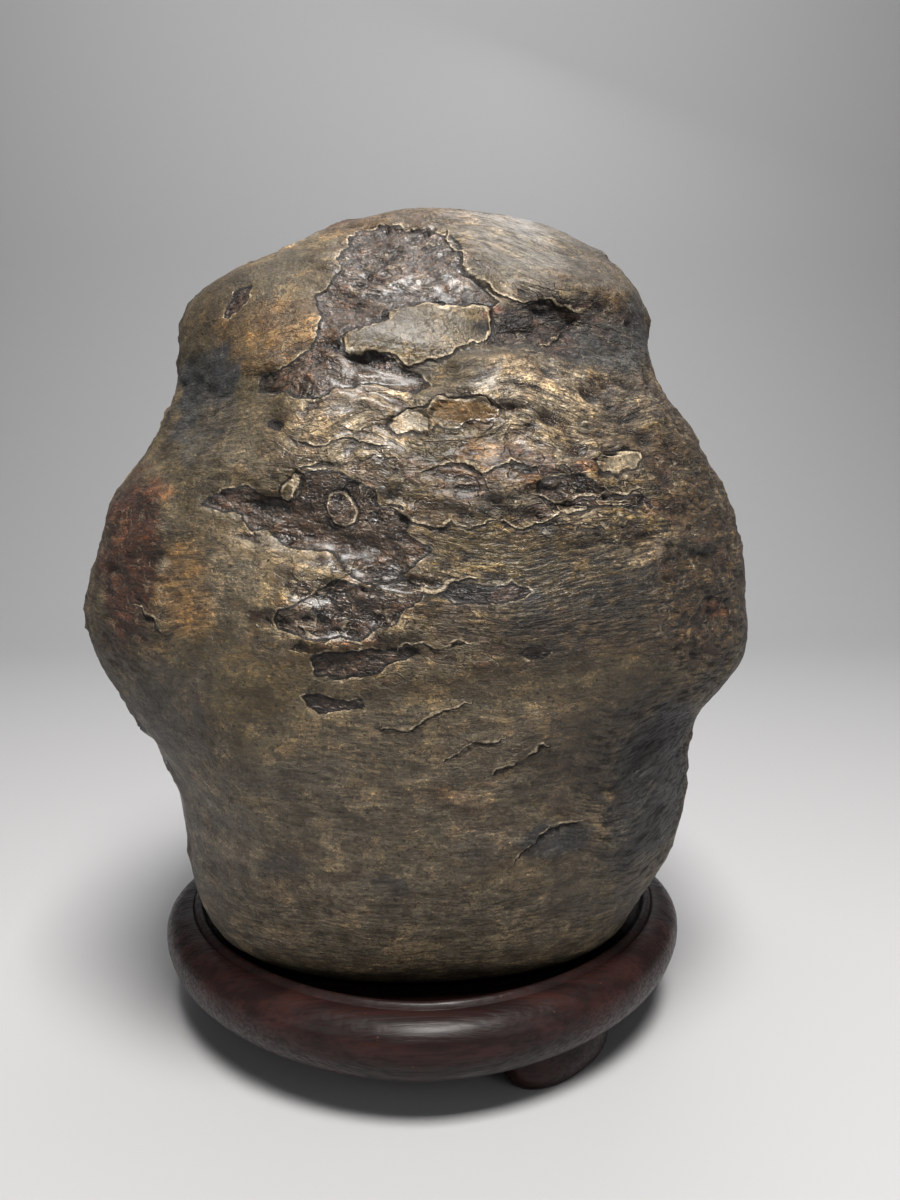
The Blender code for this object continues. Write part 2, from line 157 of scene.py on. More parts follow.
# Regions that are folded and crumpled: centre, half sizes, turn, strength.
CRUMPLED_REGIONS = (
    ((400, 262), (70, 42), 0, 1.0), ((320, 370), (70, 30), -10, 0.9),
    ((350, 430), (70, 50), -30, 0.8), ((535, 395), (80, 56), 20, 1.0),
    ((640, 420), (70, 70), 20, 0.8), ((330, 520), (110, 60), 15, 1.0),
    ((350, 610), (90, 44), -5, 1.0), ((480, 470), (130, 40), 5, 0.9),
    ((600, 500), (90, 40), 0, 1.0), ((570, 322), (70, 34), 0, 0.9),
    ((700, 560), (50, 130), 0, 0.7), ((120, 560), (50, 100), 0, 0.5),
    ((660, 780), (60, 90), 25, 0.6), ((190, 410), (40, 60), 0, 0.5),
)

# Regions with strong striations: centre, half sizes, turn, strength.
STRIATED_REGIONS = (
    ((590, 570), (190, 80), -4, 1.0), ((700, 560), (60, 150), 0, 1.0),
    ((510, 245), (80, 36), 25, 0.55), ((410, 214), (130, 16), 0, 0.4),
    ((660, 780), (80, 120), 25, 0.8), ((180, 590), (60, 60), 0, 0.6),
    ((420, 430), (190, 110), 0, 0.35), ((600, 410), (100, 80), 0, 0.9),
    ((480, 780), (230, 90), 0, 0.4), ((440, 930), (260, 50), 0, 0.5),
    ((130, 570), (50, 110), 0, 0.6), ((200, 430), (50, 80), 0, 0.5),
)

# How the wax shines: centre, half sizes, turn, strength.
SHINY_REGIONS = (
    ((400, 262), (74, 44), 0, 1.0), ((545, 410), (84, 50), 15, 1.0),
    ((345, 430), (80, 60), -20, 1.0), ((350, 560), (100, 90), 0, 1.0),
    ((480, 470), (120, 50), 0, 0.7), ((540, 550), (190, 60), -4, 0.8),
    ((270, 600), (110, 70), -5, 0.9), ((500, 245), (70, 40), 25, 0.7),
    ((400, 330), (90, 40), 0, 0.6), ((200, 560), (60, 80), 0, 0.5),
    ((400, 740), (300, 110), 0, 0.3),
)

# Colour patches of the skin: centre, half sizes, turn, colour, strength. A few are painted
# sheen, painted highlight, painted floor light and painted shade, as noted below.
OLIVE = (0.066, 0.050, 0.027)
OLIVE_GREY = (0.092, 0.073, 0.047)
OCHRE = (0.175, 0.104, 0.040)
GOLDEN = (0.098, 0.071, 0.032)
HONEY = (0.086, 0.055, 0.024)
PALE = (0.200, 0.165, 0.115)
RED_BROWN = (0.043, 0.017, 0.008)
RUST = (0.120, 0.048, 0.020)
SLATE = (0.026, 0.027, 0.028)
DARK_UMBER = (0.034, 0.023, 0.012)
# Near black, painted shade for the hollow under the cap.
HOLLOW_SHADE = (0.009, 0.006, 0.0045)
GREY_BROWN = (0.068, 0.057, 0.043)
COLOUR_PATCHES = (
    # The pale patch at (505, 245) on the next line is partly pale streaks and partly a painted
    # highlight on the cap's crest.
    ((385, 212), (100, 22), 0, HONEY, 0.8), ((505, 245), (64, 34), 22, PALE, 0.15),
    ((600, 275), (50, 34), 40, DARK_UMBER, 0.7), ((642, 330), (26, 50), 10, SLATE, 0.9),
    ((265, 335), (64, 34), -18, HONEY, 1.0), ((215, 300), (44, 34), -30, DARK_UMBER, 0.5),
    ((205, 402), (30, 58), 12, SLATE, 1.0), ((418, 334), (74, 26), -8, OLIVE, 0.8),
    ((240, 440), (50, 40), 0, OLIVE_GREY, 0.6), ((345, 425), (60, 42), -22, PALE, 0.8),
    # The pale patch at (545, 405) on the next line is a painted sheen on the swell.
    ((545, 405), (70, 46), 12, PALE, 1.0), ((625, 390), (40, 40), 30, GREY_BROWN, 0.9),
    ((465, 413), (36, 15), 0, OCHRE, 1.0), ((411, 423), (20, 14), 0, PALE, 0.9),
    ((132, 560), (34, 88), 4, RED_BROWN, 1.0), ((122, 540), (14, 22), 0, RUST, 0.4),
    ((160, 490), (14, 9), 0, RUST, 0.5), ((186, 590), (26, 46), 0, OCHRE, 0.8),
    # The pale patch at (262, 580) on the next line is a painted sheen.
    ((162, 566), (7, 8), 0, PALE, 1.0), ((262, 580), (60, 60), 0, PALE, 0.35),
    ((480, 550), (90, 26), -4, GOLDEN, 0.9), ((600, 565), (110, 34), -8, GOLDEN, 0.7),
    ((625, 612), (120, 46), -8, DARK_UMBER, 0.8),
    ((640, 545), (60, 14), -14, PALE, 0.55), ((340, 508), (16, 18), 0, GREY_BROWN, 0.8),
    ((500, 470), (50, 26), 0, RED_BROWN, 0.6), ((480, 462), (18, 14), 0, OCHRE, 0.7),
    ((500, 314), (10, 12), 0, RUST, 0.9), ((585, 467), (16, 8), 0, RUST, 0.5),
    ((690, 470), (40, 50), 20, DARK_UMBER, 0.7), ((705, 580), (36, 90), 0, DARK_UMBER, 0.9),
    ((715, 610), (10, 9), 0, RUST, 0.8), ((490, 592), (50, 12), 0, SLATE, 1.0),
    ((500, 500), (70, 14), 4, GREY_BROWN, 0.8),
    ((570, 650), (110, 26), -6, DARK_UMBER, 0.7), ((266, 720), (44, 60), 0, GOLDEN, 0.7),
    ((170, 700), (40, 50), 0, GREY_BROWN, 0.8), ((400, 830), (250, 130), 0, OLIVE_GREY, 0.8),
    ((600, 740), (80, 50), -30, DARK_UMBER, 0.6), ((655, 780), (42, 92), 25, SLATE, 0.9),
    ((556, 838), (38, 18), -10, SLATE, 1.0), ((282, 866), (30, 12), 0, SLATE, 0.7),
    ((378, 890), (26, 10), 0, SLATE, 1.0), ((215, 850), (34, 40), 0, GREY_BROWN, 0.8),
    # The pale patch at (420, 950) on the next line is painted light from the floor on the
    # stone's bottom.
    ((420, 950), (220, 40), 0, PALE, 0.4), ((480, 850), (26, 16), 20, GREY_BROWN, 0.8),
    # The first patch on the next line is painted shade in the hollow under the cap.
    ((560, 328), (74, 28), 4, HOLLOW_SHADE, 1.0), ((615, 345), (40, 30), 20, SLATE, 0.9),
    ((617, 462), (24, 12), -4, PALE, 0.5), ((236, 846), (20, 14), 30, PALE, 0.5),
    ((318, 842), (26, 12), 10, PALE, 0.4), ((330, 900), (60, 16), -6, PALE, 0.35),
    ((455, 800), (40, 10), 10, RED_BROWN, 0.4), ((300, 780), (60, 20), 0, SLATE, 0.25),
    ((505, 600), (12, 8), 0, SLATE, 0.6),
    # The pale patches at (360, 560) and (340, 620) on this and the next line are painted sheen.
    ((340, 860), (190, 90), 6, PALE, 0.22), ((360, 560), (80, 40), -4, PALE, 0.16),
    ((340, 620), (80, 22), -4, PALE, 0.20), ((650, 590), (60, 40), 0, DARK_UMBER, 0.3),
)

# Sweeps of the grain: centre, half sizes, slope of the streaks, positive rising to the right.
GRAIN_SWEEPS = (
    ((560, 400), (80, 60), -0.45), ((672, 800), (90, 110), 0.75),
    ((260, 325), (120, 70), 0.35), ((600, 575), (180, 70), 0.16),
    ((520, 250), (90, 60), -0.60), ((340, 430), (60, 50), 0.45),
    ((120, 660), (60, 90), -0.40),
)

# ---- sizes of the fine relief
STONE_COLUMNS = 300
STONE_ROWS = 324
CAST_ROWS = 420
SPINE_MIDDLE_Z = 0.115  # middle of the upright line that the stone is measured from
SPINE_REACH = 0.050  # how far that line runs up and down from its middle
FRONT_CROWDING = 0.30  # how much closer together the columns are on the show face
SKIN_BLUR_CELLS = 3
CAVITY_BLUR_CELLS = 2
BLUR_PASSES = 2
HIDDEN_BELOW_Z = 0.026  # the stand hides the stone below this height
HIDDEN_SPACING = 0.3  # share of its usual rows that the hidden part gets
CALM_Z = (0.024, 0.032)  # the relief grows from nothing to full between these heights

SKIN_DEPTH = 0.5  # mm, how far a scar lies under the skin
SCAR_EDGE = 0.5  # mm, width of its sloping edge
LAYER_SPREAD = 2.6  # ledge levels, from the middle to a high or a low place
LAYER_MIDDLE = 4.0  # ledge level in the middle
LAYER_STEP = 0.45  # mm, one small ledge
LAYER_ON_SKIN = 4.4  # the ledge level that lies on the smooth skin
LAYER_SLOPE = 0.22  # share of a level that its sloping edge takes
PLATE_RISE = 0.15  # mm, a standing plate above the skin round it
PLATE_CALM = 0.7  # how much less striated a plate is
FOLDS = 1.1  # mm, folds of the crumpled regions
FOLDS_ELSEWHERE = 0.25  # share of them outside those regions
WRINKLES = 0.55  # mm, wrinkles of the crumpled regions
WRINKLES_ELSEWHERE = 0.10
WRINKLE_LEVEL = 0.6  # the ridge value that lies on the smooth skin
LEDGE_RISE = 0.35  # mm, a drawn ledge above its crack
CRACK_DEPTH = 0.3  # mm
CRACK_MIDDLE = 0.3  # mm, how far below its ledge line a crack is deepest
CRACK_HALF_WIDTH = 0.9  # mm
CRACK_REACH = 2.0  # mm, how far from a ledge line its distance is kept
FLAKE_REACH = 12.0  # mm, how far from a scar's edge its distance is kept

# Small corrections of the outline: side, height, half height and push outward in mm.
OUTLINE_FIT = ((-1, 182, 26, 2.0), (-1, 156, 28, 3.0), (-1, 88, 28, -1.5),
               (1, 160, 16, 1.0), (1, 92, 26, -2.2))
SIDE_FROM_X = 25.0  # mm from the middle where the push begins
SIDE_BLEND = 35.0  # mm over which it grows to its full size

# Irregular fields: wavelengths in mm along X, Y and Z, octaves, and a shift that tells
# one field from the next.
LAYER_WAVES = ((11, 11, 6), 4, 8.0)
FOLD_WAVES = ((15, 15, 6), 3, 16.0)
WRINKLE_WAVES = ((8, 8, 3.4), 3, 17.0)
GRAIN_SWAY_WAVES = ((50, 50, 50), 2, 7.0)
WILD_FLAKE_WAVES = ((34, 34, 20), 4, 5.0)
PATCH_FRAY_WAVES = ((6, 6, 4), 4, 13.0)
REGION_DRIFT_SIZE = (14, 14, 14)
WILD_REGION_SIZE = (40, 40, 26)
WILD_COLOUR_SIZE = (34, 34, 24)

# How drawn edges wander on the sheet: reach along u and v, size and octaves of the field as
# above, and its shifts for u and v.
FLAKE_RAG = ((4.0, 4.0, (9, 9, 9), 3, 1.0, 3.0), (2.0, 2.0, (3, 3, 3), 2, 2.0, 4.0))
LEDGE_RAG = ((7.0, 7.0, (6, 6, 6), 3, 14.0, 15.0),)
PATCH_RAG = ((12.0, 8.0, (16, 16, 12), 3, 11.0, 12.0),)
REGION_DRIFT = 10.0

GRAIN_SWAY = 2.5  # mm, how far the grain wanders up and down
GRAIN_RISE = 0.21  # mm of rise for one sheet unit to the right at slope 1
WILD_FLAKES = 16.0  # mm, distances inside the flaked places away from the show face
WILD_FLAKE_LEVEL = 0.34  # field value above which the skin there has flaked
WILD_REGION_STRENGTH = 0.7
WILD_COLOUR_STRENGTH = 0.8
WILD_COLOURS = (GOLDEN, SLATE, RED_BROWN, OLIVE_GREY, DARK_UMBER)
WILD_COLOUR_SHIFTS = (20.0, 23.0, 26.0, 29.0, 32.0)
REGION_MASKS = (("broken", BROKEN_REGIONS, 40.0), ("crumpled", CRUMPLED_REGIONS, 50.0),
                ("shiny", SHINY_REGIONS, 60.0), ("striated", STRIATED_REGIONS, 70.0))

# ---- sizes of the stand
# Rim section from underside to bead: (inset from the outer edge, height), in mm.
RIM_SECTION = (
    (15.0, 9.0), (9.5, 9.4), (7.2, 10.2), (5.2, 11.4), (3.5, 12.7), (2.2, 14.2), (1.2, 15.9),
    (0.5, 17.8), (0.1, 19.4), (0.0, 20.8), (0.1, 22.4), (0.6, 23.8), (1.5, 25.1), (2.8, 26.2),
    (4.0, 26.9), (5.2, 27.3), (6.8, 27.6), (7.2, 27.5), (7.5, 27.2), (7.8, 27.6), (8.2, 28.2),
    (8.6, 28.5), (9.0, 28.6), (9.4, 28.5), (9.8, 28.2), (10.1, 27.6), (10.4, 26.8),
    (11.2, 25.6), (12.6, 24.6))
RIM_ROUNDNESS = 1.86  # exponent of the rim's plan, 2 is an ellipse
RIM_COLUMNS = 288
SEAT_LEVELS = (0.0230, 0.0195, 0.0170, 0.0155)
SEAT_CLEARANCE = 0.0012
LOWEST_STONE_Z = 0.0161  # the stone's edge is followed no lower than this

# Feet: azimuth from the front to the right, half angle, outer radius, inner radius.
FEET = (
    (42.5, 19.5, 60.0, 41.0), (105, 16, 72.0, 51.0), (166, 16, 72.0, 52.0),
    (-140, 16, 70.0, 50.0), (-90, 16, 66.0, 46.0))
FOOT_SECTION = ((2.8, 0.0), (1.6, 0.4), (0.8, 1.5), (0.2, 2.7), (0.0, 4.0), (0.1, 5.5),
                (0.5, 7.0), (1.1, 9.0), (2.0, 11.5))
FOOT_ROUNDNESS = (0.7, 0.8)  # exponents of a foot's plan, across and along
FOOT_POINTS = 56
FEET_MIDDLE = (-0.3, -2.5)  # mm, the point that the feet are laid out round
SHARP_ANGLE = 50  # degrees between faces above which an edge stays sharp

# ---- the studio
# Softboxes: name, place, point they aim at, width and height, watts, colour.
WHITE = (1.0, 1.0, 1.0)
SOFTBOXES = (
    ("overhead", (0.05, -0.36, 0.78), (0.0, 0.0, 0.12), (0.28, 0.20), 14.0, (1.0, 0.975, 0.94)),
    ("left window", (-0.75, -0.65, 0.50), (0.0, 0.0, 0.08), (0.40, 0.40), 1.1, WHITE),
    ("right fill", (0.75, -0.75, 0.45), (0.0, 0.0, 0.08), (0.50, 0.50), 1.4, WHITE),
    ("back fill", (0.30, 0.80, 1.00), (0.0, 0.0, 0.10), (0.50, 0.50), 2.0, WHITE),
    ("backdrop light", (0.0, 0.35, 1.30), (0.0, 1.0, 0.5), (1.2, 0.4), 9.0, WHITE),
)
ROOM_COLOUR = (0.97, 0.98, 1.0)
ROOM_STRENGTH = 0.11
PAPER_COLOUR = (0.345, 0.345, 0.352)
PAPER_ROUGHNESS = 0.9
SWEEP_HALF_WIDTH = 3.0
SWEEP_FRONT_Y = -1.5
SWEEP_BACK_Y = 1.1
SWEEP_HEIGHT = 2.2
SWEEP_BEND = 0.5
SWEEP_BEND_STEPS = 12

# ---- colours of the finishes
UNDER_DARK = (0.018, 0.0085, 0.006)  # the layer under the stone's skin
UNDER_LIGHT = (0.062, 0.034, 0.023)
UNDER_SHARE = 0.25  # share of the skin's own colour in that layer
WORN_AND_LIT_DARK = (0.20, 0.15, 0.09)  # lips of ledges and flakes: partly worn, partly a painted highlight on their lit edge
WORN_AND_LIT_LIGHT = (0.44, 0.36, 0.25)
# Painted shade for the crevices at the feet of ledges, flakes and drawn lines.
CREVICE_SHADE = (0.007, 0.005, 0.004)
WOOD_DARK = (0.0095, 0.0042, 0.0038)
WOOD_LIGHT = (0.024, 0.0092, 0.0078)
WOOD_PORE = (0.35, 0.32, 0.32)  # tint of the pores
WOOD_BLOT = (0.028, 0.0095, 0.0072)
WOOD_SPOT = (0.11, 0.042, 0.017)

# Noises along the stone's grain: detail, roughness, waves in a mm along X, Y and across it.
GRAIN_NOISES = {
    "streak": (3.5, 0.58, (0.26, 0.26, 1.30)),
    "broad_streak": (4.0, 0.60, (0.11, 0.11, 0.45)),
    "hair": (4.0, 0.65, (0.13, 0.13, 0.75)),
    "wisp": (5.0, 0.62, (0.22, 0.22, 0.42)),
    "folds": (4.0, 0.60, (0.17, 0.17, 0.45)),
    "crinkle": (2.5, 0.60, (0.30, 0.30, 0.52)),
    "thin_layers": (5.0, 0.58, (0.075, 0.075, 0.22)),
}
# Noises of the stone without a direction: waves in a mm, detail, roughness.
PLAIN_NOISES = {
    "blotch": (0.11, 7.0, 0.70),
    "mottle": (0.20, 6.0, 0.65),
    "ragged": (0.30, 5.0, 0.62),
    "crackle": (0.42, 5.0, 0.60),
    "grit": (1.05, 3.0, 0.65),
}
LEAST_STRIATED = 0.12  # how striated the calmest skin still is
THIN_LAYERS = 7.0  # number of levels of the thin layers


# ---- small helpers
def smooth(x):
    """0 below 0, 1 above 1, eased between."""
    x = np.clip(x, 0.0, 1.0)
    return x * x * (3.0 - 2.0 * x)


def mound(u, v, centre, half_sizes, turn):
    """Distance-like value of a turned ellipse: 0 in the middle, 1 on its edge."""
    angle = math.radians(turn)
    du, dv = u - centre[0], v - centre[1]
    along = (du * math.cos(angle) + dv * math.sin(angle)) / half_sizes[0]
    across = (dv * math.cos(angle) - du * math.sin(angle)) / half_sizes[1]
    return np.hypot(along, across)


def segment_gap(u, v, start, end):
    """Distance from each place to a straight piece, and on which side of it the place is."""
    run_u, run_v = end[0] - start[0], end[1] - start[1]
    along = ((u - start[0]) * run_u + (v - start[1]) * run_v) / (run_u ** 2 + run_v ** 2)
    along = np.clip(along, 0.0, 1.0)
    gap_u, gap_v = u - start[0] - along * run_u, v - start[1] - along * run_v
    side = np.where(run_u * gap_v - run_v * gap_u >= 0.0, 1.0, -1.0)
    return np.hypot(gap_u, gap_v), side


def inside_distance(u, v, outline):
    """Distance to a closed outline, positive inside it."""
    nearest = np.full(u.shape, 1e9)
    inside = np.zeros(u.shape, dtype=bool)
    for start, end in zip(outline, outline[1:] + outline[:1]):
        nearest = np.minimum(nearest, segment_gap(u, v, start, end)[0])
        crosses = (start[1] > v) != (end[1] > v)
        slope = (end[0] - start[0]) / (end[1] - start[1]) if end[1] != start[1] else 0.0
        inside ^= crosses & (u < start[0] + slope * (v - start[1]))
    return np.where(inside, nearest, -nearest)


def line_distance(u, v, line):
    """Distance to an open line, positive below it on the sheet."""
    nearest = np.full(u.shape, 1e9)
    signed = np.full(u.shape, 1e9)
    for start, end in zip(line, line[1:]):
        gap, side = segment_gap(u, v, start, end)
        closer = gap < nearest
        nearest = np.where(closer, gap, nearest)
        signed = np.where(closer, gap * side, signed)
    return signed


def cloud(points, size, octaves, shift):
    """Smooth irregular values from about -1 to 1, the same on every run."""
    scaled = points / np.array(size, dtype=float) + shift
    flat = [noise.fractal(Vector(p), 0.8, 2.0, octaves) for p in scaled.reshape(-1, 3)]
    return np.array(flat).reshape(points.shape[:-1])


def ridges(points, size, octaves, shift):
    """Creased irregular values from 0 to about 1, sharp along the crests."""
    return 1.0 - np.abs(cloud(points, size, octaves, shift)) * 2.0


def ragged(u, v, points_mm, rag):
    """Places on the sheet moved about irregularly, so that what is drawn has ragged edges."""
    for reach_u, reach_v, size, octaves, shift_u, shift_v in rag:
        u = u + reach_u * cloud(points_mm, size, octaves, shift_u)
        v = v + reach_v * cloud(points_mm, size, octaves, shift_v)
    return u, v


# ---- camera, floor and lights
def new_object(name, data):
    """A new object in the scene."""
    item = bpy.data.objects.new(name, data)
    bpy.context.scene.collection.objects.link(item)
    return item


def eye_axes():
    """The eye's right, up and ahead directions."""
    ahead = Vector((math.sin(EYE_TURN) * math.cos(EYE_DROP),
                    math.cos(EYE_TURN) * math.cos(EYE_DROP), -math.sin(EYE_DROP)))
    right = Vector((math.cos(EYE_TURN), -math.sin(EYE_TURN), 0.0))
    return right, right.cross(ahead), ahead


def onto_sheet(points):
    """Where the eye sees each point, as u and v, and how far ahead of it the point is."""
    right, up, ahead = (np.array(axis) for axis in eye_axes())
    seen = points - np.array(EYE)
    depth = seen @ ahead
    u = SHEET_SIZE[0] / 2.0 + SHEET_DISTANCE * (seen @ right) / depth
    v = SHEET_SIZE[1] / 2.0 - SHEET_DISTANCE * (seen @ up) / depth
    return u, v, depth


def add_camera():
    """The camera at the eye."""
    right, up, ahead = eye_axes()
    lens = bpy.data.cameras.new("camera")
    lens.lens = LENS_MM
    lens.sensor_width = SENSOR_MM
    lens.clip_start = 0.01
    camera = new_object("camera", lens)
    camera.matrix_world = Matrix((right, up, -ahead)).transposed().to_4x4()
    camera.location = EYE
    bpy.context.scene.camera = camera


def add_softbox(name, place, target, size, watts, colour):
    """A rectangular light that shines from its place onto its target."""
    light = bpy.data.lights.new(name, "AREA")
    light.shape = "RECTANGLE"
    light.size, light.size_y = size
    light.energy = watts
    light.color = colour
    item = new_object(name, light)
    item.location = place
    item.rotation_euler = (Vector(target) - Vector(place)).to_track_quat("-Z", "Y").to_euler()


def add_lights():
    """The room's faint light and the softboxes."""
    world = bpy.data.worlds.new("studio")
    world.use_nodes = True
    background = world.node_tree.nodes["Background"]
    background.inputs["Color"].default_value = (*ROOM_COLOUR, 1.0)
    background.inputs["Strength"].default_value = ROOM_STRENGTH
    bpy.context.scene.world = world
    bpy.context.scene.view_settings.view_transform = "Standard"
    for softbox in SOFTBOXES:
        add_softbox(*softbox)


def paper_material():
    """Matt paper of the sweep."""
    paper, _, shader = new_material("pale paper")
    shader.inputs["Base Color"].default_value = (*PAPER_COLOUR, 1.0)
    shader.inputs["Roughness"].default_value = PAPER_ROUGHNESS
    return paper


def add_stage():
    """A pale sweep: floor in front, curving up into a backdrop behind."""
    line = [(SWEEP_FRONT_Y, 0.0), (0.0, 0.0)]
    for step in range(SWEEP_BEND_STEPS + 1):
        turn = math.pi / 2.0 * step / SWEEP_BEND_STEPS
        line.append((SWEEP_BACK_Y - SWEEP_BEND + SWEEP_BEND * math.sin(turn),
                     SWEEP_BEND - SWEEP_BEND * math.cos(turn)))
    line.append((SWEEP_BACK_Y, SWEEP_HEIGHT))
    points = [(side * SWEEP_HALF_WIDTH, y, z) for y, z in line for side in (-1.0, 1.0)]
    faces = [(2 * k, 2 * k + 1, 2 * k + 3, 2 * k + 2) for k in range(len(line) - 1)]
    mesh = bpy.data.meshes.new("pale_sweep")
    mesh.from_pydata(points, [], faces)
    mesh.shade_smooth()
    mesh.materials.append(paper_material())
    new_object("pale_sweep", mesh)


# ---- meshes from grids
def grid_mesh(name, grid):
    """A closed mesh from a rows x columns grid whose end rows are single points."""
    rows, columns = grid.shape[:2]
    points = np.vstack((grid[0, :1], grid[1:-1].reshape(-1, 3), grid[-1, :1]))
    here = 1 + np.arange(columns)
    after = 1 + (np.arange(columns) + 1) % columns
    faces = [(0, a, b) for a, b in zip(here.tolist(), after.tolist())]
    for row in range(rows - 3):
        up, down = row * columns, (row + 1) * columns
        faces += np.stack((here + up, here + down, after + down, after + up), 1).tolist()
    base, last = (rows - 3) * columns, len(points) - 1
    faces += [(b, a, last) for a, b in zip((here + base).tolist(), (after + base).tolist())]
    mesh = bpy.data.meshes.new(name)
    mesh.from_pydata(points.tolist(), [], faces)
    mesh.shade_smooth()
    return new_object(name, mesh)


def grid_values(grid):
    """The values of a grid in its mesh's order of points."""
    flat = grid.reshape(grid.shape[0], grid.shape[1], -1)
    return np.vstack((flat[0, :1], flat[1:-1].reshape(-1, flat.shape[2]), flat[-1, :1]))


def store(mesh, name, grid, kind="FLOAT"):
    """Keeps a grid of values on a mesh's points, for its material to read."""
    layer = mesh.attributes.new(name, kind, "POINT")
    values = grid_values(grid)
    if kind == "FLOAT_COLOR":
        values = np.hstack((values, np.ones((len(values), 1))))
    field = {"FLOAT": "value", "FLOAT_VECTOR": "vector", "FLOAT_COLOR": "color"}[kind]
    layer.data.foreach_set(field, values.astype(np.float32).ravel())


def grid_normals(points):
    """Outward unit normals of a closed rows x columns grid."""
    down = np.gradient(points, axis=0)
    around = (np.roll(points, -1, axis=1) - np.roll(points, 1, axis=1)) / 2.0
    normals = np.cross(down, around)
    lengths = np.linalg.norm(normals, axis=2, keepdims=True)
    normals = normals / np.maximum(lengths, 1e-12)
    normals[0] = (0.0, 0.0, 1.0)
    normals[-1] = (0.0, 0.0, -1.0)
    return normals


def solid_tree(node_name):
    """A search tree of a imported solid's faces."""
    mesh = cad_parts[node_name].data
    points = [vertex.co.copy() for vertex in mesh.vertices]
    return BVHTree.FromPolygons(points, [tuple(face.vertices) for face in mesh.polygons])


# ---- the stone's skin
def cast_skin(tree):
    """Points where rays from the stone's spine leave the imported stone."""
    turns = np.linspace(-math.pi, math.pi, STONE_COLUMNS, endpoint=False)
    azimuths = -math.pi / 2.0 + turns - FRONT_CROWDING * np.sin(turns)
    climbs = np.linspace(math.pi / 2.0, -math.pi / 2.0, CAST_ROWS)
    grid = np.zeros((CAST_ROWS, STONE_COLUMNS, 3))
    for row, climb in enumerate(climbs):
        start = Vector((0.0, 0.0, SPINE_MIDDLE_Z + SPINE_REACH * math.sin(climb)))
        for column, azimuth in enumerate(azimuths):
            way = Vector((math.cos(azimuth) * math.cos(climb),
                          math.sin(azimuth) * math.cos(climb), math.sin(climb)))
            grid[row, column] = tree.ray_cast(start, way)[0]
    return grid


def even_rows(grid, count):
    """Spaces each column's points evenly, sparsely where the stand hides them."""
    steps = np.linalg.norm(np.diff(grid, axis=0), axis=2)
    hidden = (grid[1:, :, 2] + grid[:-1, :, 2]) / 2.0 < HIDDEN_BELOW_Z
    steps = np.where(hidden, steps * HIDDEN_SPACING, steps)
    along = np.vstack((np.zeros((1, grid.shape[1])), np.cumsum(steps, axis=0)))
    spaced = np.zeros((count, grid.shape[1], 3))
    for column in range(grid.shape[1]):
        wanted = np.linspace(0.0, along[-1, column], count)
        for axis in range(3):
            spaced[:, column, axis] = np.interp(wanted, along[:, column],
                                                grid[:, column, axis])
    return spaced


def blurred(grid, cells):
    """A grid averaged with its neighbours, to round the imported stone's facets."""
    for _ in range(BLUR_PASSES):
        padded = np.concatenate((np.repeat(grid[:1], cells, 0), grid,
                                 np.repeat(grid[-1:], cells, 0)))
        grid = sum(padded[k:k + len(grid)] for k in range(2 * cells + 1)) / (2 * cells + 1)
        shifted = [np.roll(grid, k, axis=1) for k in range(-cells, cells + 1)]
        grid = sum(shifted) / (2 * cells + 1)
    grid[0] = grid[0].mean(axis=0)
    grid[-1] = grid[-1].mean(axis=0)
    return grid


def fitted_outline(skin):
    """The skin with its left and right outlines pushed a little out or in."""
    x, z = skin[:, :, 0] / MM, skin[:, :, 2] / MM
    push = np.zeros(x.shape)
    for side, height, half_height, outward in OUTLINE_FIT:
        bell = smooth(1.0 - np.abs(z - height) / half_height)
        push += side * outward * bell * smooth((side * x - SIDE_FROM_X) / SIDE_BLEND)
    fitted = skin.copy()
    fitted[:, :, 0] += push * MM
    return fitted


def facing_eye(points, normals):
    """1 where the surface faces the eye, 0 where it turns away."""
    sight = np.array(EYE) - points
    sight = sight / np.linalg.norm(sight, axis=2, keepdims=True)
    return smooth(np.sum(sight * normals, axis=2) / 0.22 + 0.1)


def region_strength(u, v, regions):
    """The strongest of some soft-edged regions at each place, 0 to 1."""
    strongest = np.zeros(u.shape)
    for centre, half_sizes, turn, strength in regions:
        edge = mound(u, v, centre, half_sizes, turn)
        strongest = np.maximum(strongest, strength * smooth((1.45 - edge) / 0.8))
    return strongest


def wild_and_drawn(points_mm, u, v, facing, regions, shift):
    """A region strength: as drawn on the show face, in irregular patches elsewhere."""
    drift = REGION_DRIFT * cloud(points_mm, REGION_DRIFT_SIZE, 3, shift)
    drawn = region_strength(u + drift, v + drift, regions)
    patches = smooth(cloud(points_mm, WILD_REGION_SIZE, 3, shift + 2.0) * 2.0 + 0.2)
    return drawn * facing + WILD_REGION_STRENGTH * patches * (1.0 - facing)


def grain_height(points_mm, u, v, facing):
    """Height across the skin's grain, in mm: it is constant along a streak."""
    rise = np.zeros(u.shape)
    for centre, half_sizes, slope in GRAIN_SWEEPS:
        weight = smooth(1.3 - mound(u, v, centre, half_sizes, 0))
        rise += slope * (u - centre[0]) * weight
    sway = GRAIN_SWAY * cloud(points_mm, *GRAIN_SWAY_WAVES)
    return points_mm[:, :, 2] - GRAIN_RISE * rise * facing + sway


def flake_depth(points_mm, u, v, scale, facing):
    """Distance inside the flaked places, in mm, negative on the skin."""
    ragged_u, ragged_v = ragged(u, v, points_mm, FLAKE_RAG)
    drawn = np.full(u.shape, -1e3)
    for outline in SCARS:
        drawn = np.maximum(drawn, inside_distance(ragged_u, ragged_v, outline))
    for outline in PLATES:
        drawn = np.minimum(drawn, -inside_distance(ragged_u, ragged_v, outline))
    drawn = np.clip(drawn * scale, -FLAKE_REACH, FLAKE_REACH)
    wild = WILD_FLAKES * (cloud(points_mm, *WILD_FLAKE_WAVES) - WILD_FLAKE_LEVEL)
    return drawn * facing + np.clip(wild, -FLAKE_REACH, FLAKE_REACH) * (1.0 - facing)


